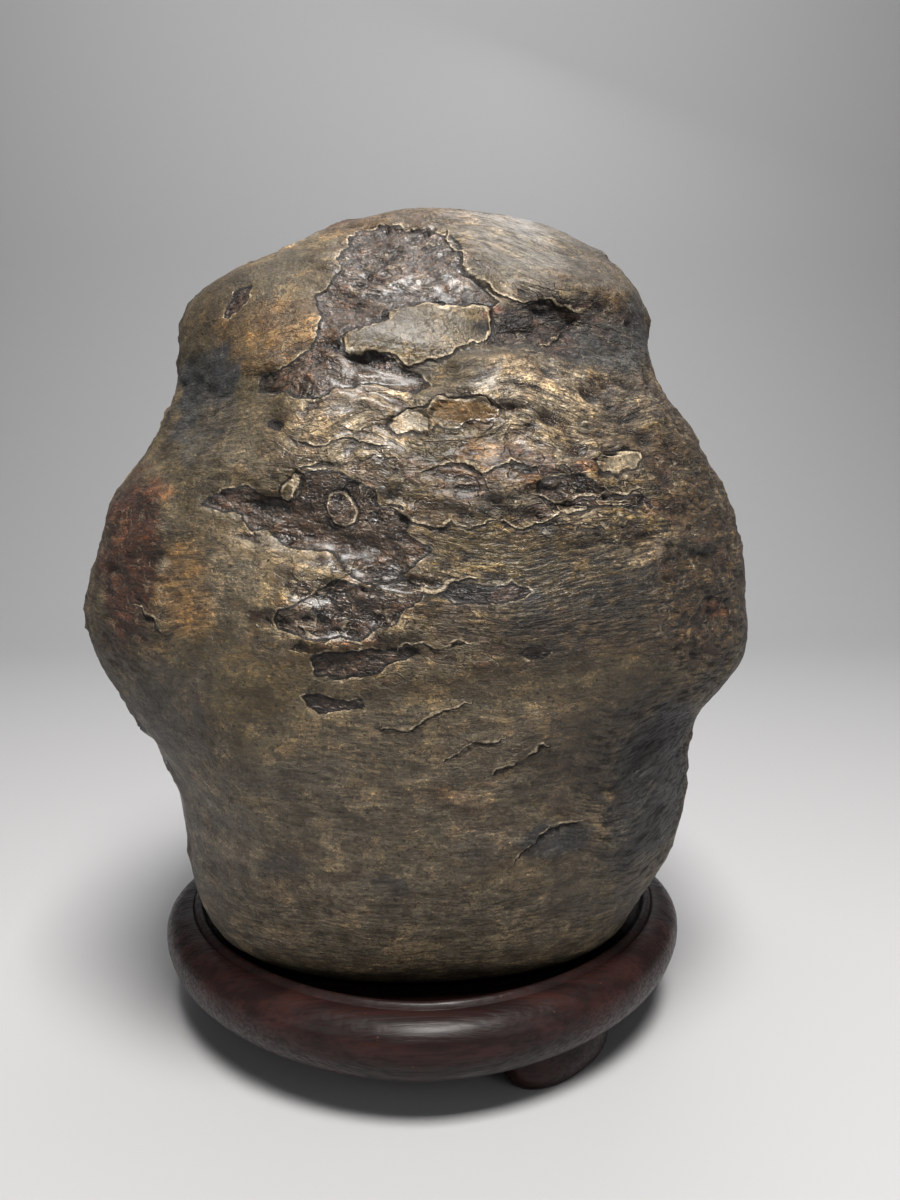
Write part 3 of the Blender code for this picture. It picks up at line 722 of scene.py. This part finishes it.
def on_plates(u, v):
    """1 on the standing plates, which stay whole and smooth."""
    inside = np.full(u.shape, -1e3)
    for outline in PLATES:
        inside = np.maximum(inside, inside_distance(u, v, outline))
    return smooth(inside / 5.0 + 0.6)


def ledge_crack(points_mm, u, v, scale):
    """Distance below the nearest ledge or outside the nearest plate, in mm, and nearness."""
    ragged_u, ragged_v = ragged(u, v, points_mm, LEDGE_RAG)
    distances = [line_distance(ragged_u, ragged_v, line) for line in LEDGE_LINES]
    distances += [-inside_distance(ragged_u, ragged_v, outline)
                  for outline in PLATES + (KNOT_RING,)]
    nearest = np.full(u.shape, 1e3)
    for distance in distances:
        distance = distance * scale
        nearest = np.where(np.abs(distance) < np.abs(nearest), distance, nearest)
    near = smooth(1.5 - np.abs(nearest) / CRACK_REACH)
    return np.clip(nearest, -CRACK_REACH, CRACK_REACH), near


def blended(colours, colour, strength):
    """Colours mixed towards one colour by a strength at each point."""
    weight = strength[:, :, np.newaxis]
    return colours * (1.0 - weight) + np.array(colour) * weight


def skin_colours(points_mm, u, v, facing):
    """Base colour of the skin at each point, from its patches, a few of which are painted
    sheen, painted highlight, painted floor light and painted shade.
    """
    ragged_u, ragged_v = ragged(u, v, points_mm, PATCH_RAG)
    frayed = 0.30 * cloud(points_mm, *PATCH_FRAY_WAVES)
    colours = np.zeros(u.shape + (3,)) + np.array(OLIVE)
    for centre, half_sizes, turn, colour, strength in COLOUR_PATCHES:
        edge = mound(ragged_u, ragged_v, centre, half_sizes, turn) + frayed
        colours = blended(colours, colour, strength * smooth((1.20 - edge) / 0.40) * facing)
    away = 1.0 - facing
    for colour, shift in zip(WILD_COLOURS, WILD_COLOUR_SHIFTS):
        spots = smooth((cloud(points_mm, WILD_COLOUR_SIZE, 3, shift) - 0.12) / 0.2)
        colours = blended(colours, colour, WILD_COLOUR_STRENGTH * spots * away)
    return colours


def skin_masks(points_mm, along_grain, u, v, scale, facing):
    """What the relief and the material need to know at each point, and the plates' mask."""
    masks = {name: wild_and_drawn(points_mm, u, v, facing, regions, shift)
             for name, regions, shift in REGION_MASKS}
    whole = on_plates(u, v) * facing
    masks["broken"] = masks["broken"] * (1.0 - whole)
    masks["crumpled"] = masks["crumpled"] * (1.0 - whole)
    masks["striated"] = masks["striated"] * (1.0 - PLATE_CALM * whole)
    masks["flake"] = flake_depth(points_mm, u, v, scale, facing)
    masks["layers"] = LAYER_SPREAD * cloud(along_grain, *LAYER_WAVES) + LAYER_MIDDLE
    masks["crack"], near = ledge_crack(points_mm, u, v, scale)
    masks["near crack"] = near * facing
    return masks, whole


def skin_relief(along_grain, masks, whole):
    """How far each point stands out from the smooth skin, in mm."""
    layers, crumpled = masks["layers"], masks["crumpled"]
    crack, near = masks["crack"], masks["near crack"]
    terrace = np.floor(layers) + smooth((layers % 1.0) / LAYER_SLOPE)
    folded = FOLDS_ELSEWHERE + (1.0 - FOLDS_ELSEWHERE) * crumpled
    wrinkled = WRINKLES_ELSEWHERE + (1.0 - WRINKLES_ELSEWHERE) * crumpled
    ridge = ridges(along_grain, *WRINKLE_WAVES) - WRINKLE_LEVEL
    depth = smooth(1.0 - np.abs(crack - CRACK_MIDDLE) / CRACK_HALF_WIDTH)
    relief = -SKIN_DEPTH * smooth(masks["flake"] / SCAR_EDGE + 0.5)
    relief += LAYER_STEP * (terrace - LAYER_ON_SKIN) * masks["broken"]
    relief += PLATE_RISE * whole
    relief += FOLDS * cloud(along_grain, *FOLD_WAVES) * folded
    relief += WRINKLES * ridge * wrinkled
    relief -= CRACK_DEPTH * depth * near
    relief += LEDGE_RISE * smooth(1.0 + crack / CRACK_REACH) * (crack < 0.0) * near
    return relief


def make_stone():
    """The stone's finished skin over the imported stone, with its relief in the mesh."""
    skin = even_rows(cast_skin(solid_tree("scholars_rock")), STONE_ROWS)
    skin = fitted_outline(blurred(skin, SKIN_BLUR_CELLS))
    normals = grid_normals(skin)
    points_mm = skin / MM
    u, v, depth = onto_sheet(skin)
    facing = facing_eye(skin, normals)
    grain = grain_height(points_mm, u, v, facing)
    along_grain = np.stack((points_mm[:, :, 0], points_mm[:, :, 1], grain), axis=2)
    scale = depth / MM / SHEET_DISTANCE
    masks, whole = skin_masks(points_mm, along_grain, u, v, scale, facing)

    relief = skin_relief(along_grain, masks, whole)
    calm = smooth((skin[:, :, 2] - CALM_Z[0]) / (CALM_Z[1] - CALM_Z[0]))
    # cavity: the relief minus its blur, which the material uses for painted shade in the
    # hollows.
    masks["cavity"] = relief - blurred(relief[:, :, np.newaxis], CAVITY_BLUR_CELLS)[:, :, 0]
    skin = skin + normals * (relief * calm * MM)[:, :, np.newaxis]
    low, high = (np.array(corner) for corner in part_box("scholars_rock"))
    stone = grid_mesh("stone_skin", np.clip(skin, low, high))
    for name, values in masks.items():
        store(stone.data, name, values)
    store(stone.data, "grain", along_grain, "FLOAT_VECTOR")
    store(stone.data, "skin colour", skin_colours(points_mm, u, v, facing), "FLOAT_COLOR")
    return stone


# ---- the stand
def rim_radius(azimuth, half_width, half_depth):
    """Outer radius of the rim at an azimuth from +X."""
    across = abs(math.cos(azimuth)) / half_width
    along = abs(math.sin(azimuth)) / half_depth
    return (across ** RIM_ROUNDNESS + along ** RIM_ROUNDNESS) ** (-1.0 / RIM_ROUNDNESS)


def seat_row(tree, azimuths, level):
    """One row of the seat's wall, which follows the stone's edge."""
    row = []
    for azimuth in azimuths:
        way = Vector((math.cos(azimuth), math.sin(azimuth), 0.0))
        start = Vector((0.0, 0.0, max(level, LOWEST_STONE_Z)))
        edge = tree.ray_cast(start, way)[3]
        row.append((*(way * (edge + SEAT_CLEARANCE)).xy, level))
    return row


def stand_grid():
    """Rows x columns of the stand's body, from the seat floor out to the underside."""
    tree = solid_tree("scholars_rock")
    low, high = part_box("carved_wood_stand")
    middle = ((low[0] + high[0]) / 2.0, (low[1] + high[1]) / 2.0)
    halves = ((high[0] - low[0]) / 2.0, (high[1] - low[1]) / 2.0)
    azimuths = [2.0 * math.pi * k / RIM_COLUMNS for k in range(RIM_COLUMNS)]
    rows = [[(0.0, 0.0, SEAT_LEVELS[-1])] * RIM_COLUMNS]
    rows += [seat_row(tree, azimuths, level) for level in SEAT_LEVELS[::-1]]
    for inset, height in RIM_SECTION[::-1]:
        row = []
        for azimuth in azimuths:
            radius = rim_radius(azimuth, *halves) - inset * MM
            row.append((middle[0] + radius * math.cos(azimuth),
                        middle[1] + radius * math.sin(azimuth), height * MM))
        rows.append(row)
    rows.append([(*middle, RIM_SECTION[0][1] * MM)] * RIM_COLUMNS)
    return np.array(rows)


def foot_outline(middle, half_angle, outer, inner):
    """A foot's plan in mm: a plump bean that follows the rim."""
    outline = []
    for k in range(FOOT_POINTS):
        turn = 2.0 * math.pi * k / FOOT_POINTS
        across, along = math.cos(turn), math.sin(turn)
        lobe = math.copysign(abs(across) ** FOOT_ROUNDNESS[0], across)
        swing = math.copysign(abs(along) ** FOOT_ROUNDNESS[1], along)
        radius = (outer + inner) / 2.0 + (outer - inner) / 2.0 * lobe
        azimuth = math.radians(middle - 90.0 + half_angle * swing)
        outline.append((radius * math.cos(azimuth), radius * math.sin(azimuth)))
    return np.array(outline)


def make_foot(middle, half_angle, outer, inner):
    """One carved toe, which tucks into the stand's body."""
    outline = foot_outline(middle, half_angle, outer, inner)
    facing = math.radians(middle - 90.0)
    centre = np.array((math.cos(facing), math.sin(facing))) * (outer + inner) / 2.0
    spokes = outline - centre
    reach = np.linalg.norm(spokes, axis=1, keepdims=True)
    rows = [np.repeat([(*centre, 0.0)], FOOT_POINTS, axis=0)]
    for inset, height in FOOT_SECTION:
        edge = outline - spokes / reach * inset
        rows.append(np.hstack((edge, np.full((FOOT_POINTS, 1), height))))
    rows.append(np.repeat([(*centre, FOOT_SECTION[-1][1])], FOOT_POINTS, axis=0))
    grid = np.array(rows)[::-1] + np.array((*FEET_MIDDLE, 0.0))
    return grid_mesh("toe", grid * MM)


def make_stand():
    """The stand's fine surface, body and feet united in one solid."""
    stand = grid_mesh("stand_surface", stand_grid())
    toes = [make_foot(*foot) for foot in FEET]
    for toe in toes:
        union = stand.modifiers.new("foot", "BOOLEAN")
        union.operation = "UNION"
        union.object = toe
    united = bpy.data.meshes.new_from_object(
        stand.evaluated_get(bpy.context.evaluated_depsgraph_get()))
    stand.modifiers.clear()
    stand.data = united
    for toe in toes:
        bpy.data.objects.remove(toe, do_unlink=True)
    united.shade_smooth()
    united.set_sharp_from_angle(angle=math.radians(SHARP_ANGLE))
    return stand


# ---- material helpers
def feed(tree, socket, source):
    """Links a socket to an output, or sets its own value."""
    if isinstance(source, bpy.types.NodeSocket):
        tree.links.new(source, socket)
    else:
        socket.default_value = source


def put(tree, kind, *sources, **settings):
    """Adds a node with its settings, and feeds its inputs in order."""
    item = tree.nodes.new(kind)
    for key, value in settings.items():
        setattr(item, key, value)
    for socket, source in zip(item.inputs, sources):
        feed(tree, socket, source)
    return item


def maths(tree, operation, *sources):
    """One step of arithmetic on values."""
    return put(tree, "ShaderNodeMath", *sources, operation=operation).outputs[0]


def product(tree, *sources):
    """Several values multiplied together."""
    result = sources[0]
    for source in sources[1:]:
        result = maths(tree, "MULTIPLY", result, source)
    return result


def heaped(tree, *layers):
    """The sum of several values, each with its own factor."""
    height = 0.0
    for value, factor in layers:
        height = maths(tree, "MULTIPLY_ADD", value, factor, height)
    return height


def ramp(tree, value, low, high, to_low=0.0, to_high=1.0):
    """Eases from to_low at low to to_high at high."""
    return put(tree, "ShaderNodeMapRange", value, low, high, to_low, to_high,
               interpolation_type="SMOOTHSTEP").outputs[0]


def mix(tree, factor, first, second, blend="MIX"):
    """Mixes two colours."""
    item = put(tree, "ShaderNodeMix", factor, data_type="RGBA", blend_type=blend)
    for socket, source in ((item.inputs[6], first), (item.inputs[7], second)):
        linked = isinstance(source, bpy.types.NodeSocket)
        feed(tree, socket, source if linked else (*source, 1.0))
    return item.outputs[2]


def painted(tree, colour, *steps):
    """A colour covered step by step, each with a mask and the colour where it is 1."""
    for mask, cover in steps:
        colour = mix(tree, mask, colour, cover)
    return colour


def tinted(tree, colour, *steps):
    """A colour tinted step by step, each with a mask and the tint where it is 1."""
    for mask, tint in steps:
        colour = mix(tree, mask, colour, mix(tree, 1.0, colour, tint, "MULTIPLY"))
    return colour


def speckle(tree, vector, scale, detail, roughness, stretch=None):
    """Noise on a vector, from 0 to 1, with its own scale along each axis when asked."""
    if stretch:
        vector = put(tree, "ShaderNodeVectorMath", vector, stretch,
                     operation="MULTIPLY").outputs[0]
    item = put(tree, "ShaderNodeTexNoise", noise_type="FBM")
    tree.links.new(vector, item.inputs["Vector"])
    item.inputs["Scale"].default_value = scale
    item.inputs["Detail"].default_value = detail
    item.inputs["Roughness"].default_value = roughness
    return item.outputs["Fac"]


def thread(tree, value, width):
    """A thin line where a noise passes its middle value."""
    gap = maths(tree, "ABSOLUTE", maths(tree, "SUBTRACT", value, 0.5))
    return ramp(tree, gap, width, width * 0.2)


def attribute(tree, name, output="Fac"):
    """Values kept on the mesh's points."""
    return put(tree, "ShaderNodeAttribute", attribute_name=name).outputs[output]


def millimetres(tree):
    """The object's own coordinates, in mm."""
    place = put(tree, "ShaderNodeTexCoord").outputs["Object"]
    return put(tree, "ShaderNodeVectorMath", place, (1000.0, 1000.0, 1000.0),
               operation="MULTIPLY").outputs[0]


def add_relief(tree, shader, height, strength):
    """Bends the shader's normal over a height in mm."""
    bump = put(tree, "ShaderNodeBump")
    bump.inputs["Distance"].default_value = MM
    bump.inputs["Strength"].default_value = strength
    tree.links.new(height, bump.inputs["Height"])
    tree.links.new(bump.outputs[0], shader.inputs["Normal"])


def new_material(name):
    """A new material with its node tree and Principled shader."""
    material = bpy.data.materials.new(name)
    material.use_nodes = True
    return material, material.node_tree, material.node_tree.nodes["Principled BSDF"]


# ---- the stone's material
def stone_fields(tree):
    """The stone's noises and the masks from its mesh, which its effects are made from."""
    place = millimetres(tree)
    grain = attribute(tree, "grain", "Vector")
    fields = {name: speckle(tree, grain, 1.0, *shape) for name, shape in GRAIN_NOISES.items()}
    for name, shape in PLAIN_NOISES.items():
        fields[name] = speckle(tree, place, *shape)
    for name in ("broken", "crumpled", "shiny", "cavity"):
        fields[name] = attribute(tree, name)
    fields["striated"] = maths(tree, "MAXIMUM", attribute(tree, "striated"), LEAST_STRIATED)
    fields["sway"] = maths(tree, "SUBTRACT", fields["ragged"], 0.5)
    return SimpleNamespace(**fields)


def add_flake_edges(tree, rock):
    """The bare layer inside the scars, with a lip along their edge that is partly worn and
    partly a painted highlight, and a foot of painted shade.
    """
    flake = maths(tree, "MULTIPLY_ADD", rock.sway, 2.0, attribute(tree, "flake"))
    rock.bare = ramp(tree, flake, -0.07, 0.07)
    rock.flake_lip = product(tree, ramp(tree, flake, -0.50, -0.20),
                             ramp(tree, flake, 0.0, -0.10), ramp(tree, rock.mottle, 0.47, 0.57))
    rock.flake_foot = product(tree, ramp(tree, flake, -0.12, 0.0),
                              ramp(tree, flake, 0.70, 0.28))


def ledges(tree, value):
    """Ledges of a rising value: height, dark foot (painted shade), light lip (partly worn,
    partly a painted highlight) and a tone for each level.
    """
    level = maths(tree, "FLOOR", value)
    rest = maths(tree, "FRACT", value)
    height = maths(tree, "ADD", level, ramp(tree, rest, 0.0, 0.16))
    foot = maths(tree, "MAXIMUM", ramp(tree, rest, 0.05, 0.0), ramp(tree, rest, 0.90, 0.99))
    lip = product(tree, ramp(tree, rest, 0.10, 0.17), ramp(tree, rest, 0.36, 0.20))
    tone = put(tree, "ShaderNodeTexWhiteNoise", noise_dimensions="1D")
    tree.links.new(level, tone.inputs["W"])
    return height, foot, lip, tone.outputs["Value"]


def add_layers(tree, rock):
    """Ledges of the thick and the thin layers where the skin is broken."""
    broken = rock.broken
    plates = maths(tree, "MULTIPLY_ADD", rock.sway, 0.9, attribute(tree, "layers"))
    thin = product(tree, rock.thin_layers, THIN_LAYERS)
    plate_height, plate_foot, plate_lip, plate_tone = ledges(tree, plates)
    thin_height, thin_foot, thin_lip, thin_tone = ledges(tree, thin)
    # worn: where a lip shows. The lips are partly worn and partly a painted highlight; the feet
    # are painted shade.
    worn = ramp(tree, rock.ragged, 0.48, 0.60)
    rock.plate_height = product(tree, plate_height, broken)
    rock.thin_height = product(tree, thin_height, broken)
    rock.lip = maths(tree, "MAXIMUM", product(tree, plate_lip, broken, worn, 0.6),
                     product(tree, thin_lip, broken, worn, 0.45))
    rock.foot = maths(tree, "MAXIMUM", product(tree, plate_foot, broken, 0.9),
                      product(tree, thin_foot, broken, 0.75))
    rock.peeled = product(tree, broken, ramp(tree, plate_tone, 0.56, 0.62), 0.8)
    rock.stained = product(tree, broken, ramp(tree, thin_tone, 0.34, 0.28), 0.75)
    rock.pale = product(tree, broken, ramp(tree, thin_tone, 0.74, 0.80), 0.6)


def add_drawn_ledges(tree, rock):
    """A crack of painted shade below each drawn ledge line and a lip above it, partly worn and
    partly a painted highlight, with gaps.
    """
    crack = maths(tree, "MULTIPLY_ADD", rock.sway, 1.5, attribute(tree, "crack"))
    near = product(tree, attribute(tree, "near crack"),
                   ramp(tree, rock.blotch, 0.40, 0.47, 0.25, 1.0))
    from_foot = maths(tree, "ABSOLUTE", maths(tree, "SUBTRACT", crack, 0.15))
    from_lip = maths(tree, "ABSOLUTE", maths(tree, "ADD", crack, 0.42))
    rock.line_foot = product(tree, near, ramp(tree, from_foot, 0.42, 0.12))
    rock.line_lip = product(tree, near, ramp(tree, rock.mottle, 0.38, 0.50),
                            ramp(tree, from_lip, 0.34, 0.10))


def add_fine_lines(tree, rock):
    """Hair lines, pale wisps, crazing, and the furrows and crests of the streaks."""
    rock.hairline = product(tree, thread(tree, rock.hair, 0.028), rock.striated)
    rock.wispline = product(tree, thread(tree, rock.wisp, 0.022),
                            ramp(tree, rock.mottle, 0.50, 0.60))
    rock.craze = product(tree, thread(tree, rock.crackle, 0.022),
                         ramp(tree, rock.blotch, 0.44, 0.52))
    # Furrows and crests follow the streaks' bump: their colour is partly the grain and partly
    # painted shade and painted highlight.
    rock.furrow = product(tree, ramp(tree, rock.streak, 0.52, 0.38), rock.striated)
    rock.crest = product(tree, ramp(tree, rock.streak, 0.54, 0.70), rock.striated)


def outer_skin(tree, rock):
    """Colour of the streaked and mottled outer skin."""
    return tinted(
        tree, attribute(tree, "skin colour", "Color"),
        (ramp(tree, rock.broad_streak, 0.46, 0.60), (0.80, 0.77, 0.74)),
        (ramp(tree, rock.blotch, 0.54, 0.56, 0.0, 0.8), (1.75, 1.62, 1.42)),
        (ramp(tree, rock.blotch, 0.455, 0.435, 0.0, 0.8), (0.50, 0.48, 0.44)),
        (ramp(tree, rock.mottle, 0.55, 0.68, 0.0, 0.6), (1.5, 1.4, 1.3)),
        (ramp(tree, rock.mottle, 0.45, 0.34, 0.0, 0.7), (0.60, 0.57, 0.55)),
        # Darker furrows and lighter crests: partly the grain's colour, partly painted shade and
        # painted highlight.
        (rock.furrow, (0.13, 0.105, 0.085)),
        (rock.crest, (1.9, 1.85, 1.7)),
        (product(tree, rock.hairline, 0.85), (0.14, 0.12, 0.11)),
        (product(tree, rock.craze, 0.75), (0.22, 0.19, 0.17)),
        (product(tree, rock.wispline, 0.7), (2.8, 2.6, 2.3)),
        (ramp(tree, rock.grit, 0.62, 0.70), (2.5, 2.3, 2.0)),
        (ramp(tree, rock.grit, 0.40, 0.31), (0.18, 0.16, 0.14)))


def under_layer(tree, rock):
    """Colour of the dark layer that shows where the skin has flaked away."""
    under = mix(tree, ramp(tree, rock.mottle, 0.40, 0.60), UNDER_DARK, UNDER_LIGHT)
    under = mix(tree, UNDER_SHARE, under, attribute(tree, "skin colour", "Color"))
    return tinted(
        tree, under,
        # Darker in the crinkle's hollows and lighter on its crests, following its bump: partly
        # the layer's own tone, partly painted shade and painted highlight.
        (ramp(tree, rock.crinkle, 0.47, 0.34), (0.26, 0.22, 0.20)),
        (ramp(tree, rock.crinkle, 0.56, 0.68), (2.1, 1.9, 1.75)),
        (thread(tree, rock.wisp, 0.025), (0.15, 0.13, 0.12)),
        (ramp(tree, rock.grit, 0.58, 0.70), (2.4, 2.1, 1.9)))


def stone_colour(tree, rock):
    """The skin and the layer under it, painted shade in the relief's hollows and lighter raised
    places, then lips that are partly worn and partly a painted highlight, and crevices of
    painted shade.
    """
    under = under_layer(tree, rock)
    skin = painted(tree, outer_skin(tree, rock), (rock.peeled, under))
    skin = tinted(tree, skin, (rock.stained, (0.48, 0.38, 0.32)), (rock.pale, (2.0, 1.9, 1.7)))
    colour = painted(tree, skin, (rock.bare, under))
    # Painted shade: darker in the relief's hollows, and lighter on its raised places.
    colour = tinted(tree, colour,
                    (ramp(tree, rock.cavity, -0.05, -0.45), (0.25, 0.21, 0.19)),
                    (ramp(tree, rock.cavity, 0.10, 0.50, 0.0, 0.6), (1.7, 1.6, 1.5)))
    # worn: the lips' colour, partly worn and partly a painted highlight on their lit edge.
    worn = mix(tree, ramp(tree, rock.grit, 0.40, 0.60), WORN_AND_LIT_DARK, WORN_AND_LIT_LIGHT)
    # The crevice colour here is painted shade in the feet of ledges, flakes and drawn lines.
    return painted(tree, colour, (rock.lip, worn), (rock.foot, CREVICE_SHADE),
                   (product(tree, rock.flake_lip, 0.75), worn),
                   (product(tree, rock.flake_foot, 0.96), CREVICE_SHADE),
                   (product(tree, rock.line_lip, 0.95), worn),
                   (product(tree, rock.line_foot, 0.9), CREVICE_SHADE))


def wax_stone(tree, shader, rock):
    """Satin wax, glossier on bare and shiny places and dull in the crevices."""
    wax = maths(tree, "MULTIPLY_ADD", rock.bare, 0.4, rock.shiny)
    edges = maths(tree, "MAXIMUM", rock.flake_foot, rock.foot)
    lines = maths(tree, "MAXIMUM", rock.line_foot, product(tree, rock.furrow, 0.7))
    crevice = maths(tree, "MAXIMUM", edges, lines)
    roughness = maths(tree, "ADD", ramp(tree, wax, 0.0, 1.2, 0.56, 0.21),
                      ramp(tree, rock.mottle, 0.35, 0.65, 0.05, -0.05))
    roughness = maths(tree, "MULTIPLY_ADD", crevice, 0.45, roughness)
    coat = product(tree, ramp(tree, wax, 0.3, 1.3, 0.0, 0.34), ramp(tree, crevice, 0.6, 0.1))
    tree.links.new(roughness, shader.inputs["Roughness"])
    tree.links.new(coat, shader.inputs["Coat Weight"])
    shader.inputs["Coat Roughness"].default_value = 0.30
    shader.inputs["Specular IOR Level"].default_value = 0.42


def stone_height(tree, rock):
    """Height of the finest relief, in mm."""
    crinkled = maths(tree, "MAXIMUM", rock.bare, product(tree, rock.crumpled, 0.5))
    return heaped(
        tree, (rock.bare, -0.50), (product(tree, rock.streak, rock.striated), 0.80),
        (rock.broad_streak, 0.30), (rock.hairline, -0.12), (rock.grit, 0.42),
        (product(tree, rock.folds, rock.crumpled), 1.4),
        (product(tree, rock.crinkle, crinkled), 1.5),
        (rock.plate_height, 0.35), (rock.thin_height, 0.22),
        (maths(tree, "MAXIMUM", rock.foot, rock.craze), -0.12), (rock.line_foot, -0.45))


def stone_material():
    """Waxed stone with a brown skin that has flaked away in places."""
    material, tree, shader = new_material("waxed stone")
    rock = stone_fields(tree)
    add_flake_edges(tree, rock)
    add_layers(tree, rock)
    add_drawn_ledges(tree, rock)
    add_fine_lines(tree, rock)
    tree.links.new(stone_colour(tree, rock), shader.inputs["Base Color"])
    wax_stone(tree, shader, rock)
    add_relief(tree, shader, stone_height(tree, rock), 1.0)
    return material


# ---- the stand's material
def rosewood_material():
    """Polished dark wood with fine pores, broad figure and worn, redder blots."""
    material, tree, shader = new_material("dark rosewood")
    place = millimetres(tree)
    fibre = speckle(tree, place, 1.0, 4.0, 0.6, (0.05, 1.3, 1.3))
    figure = speckle(tree, place, 1.0, 3.0, 0.5, (0.012, 0.22, 0.22))
    blot = speckle(tree, place, 0.10, 3.0, 0.5)
    spot = speckle(tree, place, 0.55, 2.0, 0.5)
    colour = mix(tree, ramp(tree, figure, 0.35, 0.65), WOOD_DARK, WOOD_LIGHT)
    colour = tinted(tree, colour, (ramp(tree, fibre, 0.45, 0.62, 0.0, 0.7), WOOD_PORE))
    colour = painted(tree, colour, (ramp(tree, blot, 0.58, 0.72, 0.0, 0.5), WOOD_BLOT),
                     (ramp(tree, spot, 0.74, 0.80, 0.0, 0.8), WOOD_SPOT))
    tree.links.new(colour, shader.inputs["Base Color"])
    tree.links.new(ramp(tree, fibre, 0.35, 0.65, 0.34, 0.58), shader.inputs["Roughness"])
    shader.inputs["Coat Weight"].default_value = 0.10
    shader.inputs["Specular IOR Level"].default_value = 0.16
    shader.inputs["Coat Roughness"].default_value = 0.24
    add_relief(tree, shader, heaped(tree, (fibre, 0.16), (figure, 0.5), (blot, 0.9)), 0.6)
    return material


# ---- the whole scene
def main():
    """Camera, paper sweep, lights, the stone and its stand."""
    add_camera()
    add_stage()
    add_lights()
    stone = make_stone()
    stone.data.materials.append(stone_material())
    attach(stone, "root")
    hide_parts("scholars_rock")
    stand = make_stand()
    stand.data.materials.clear()
    stand.data.materials.append(rosewood_material())
    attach(stand, "root")
    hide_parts("carved_wood_stand")


main()
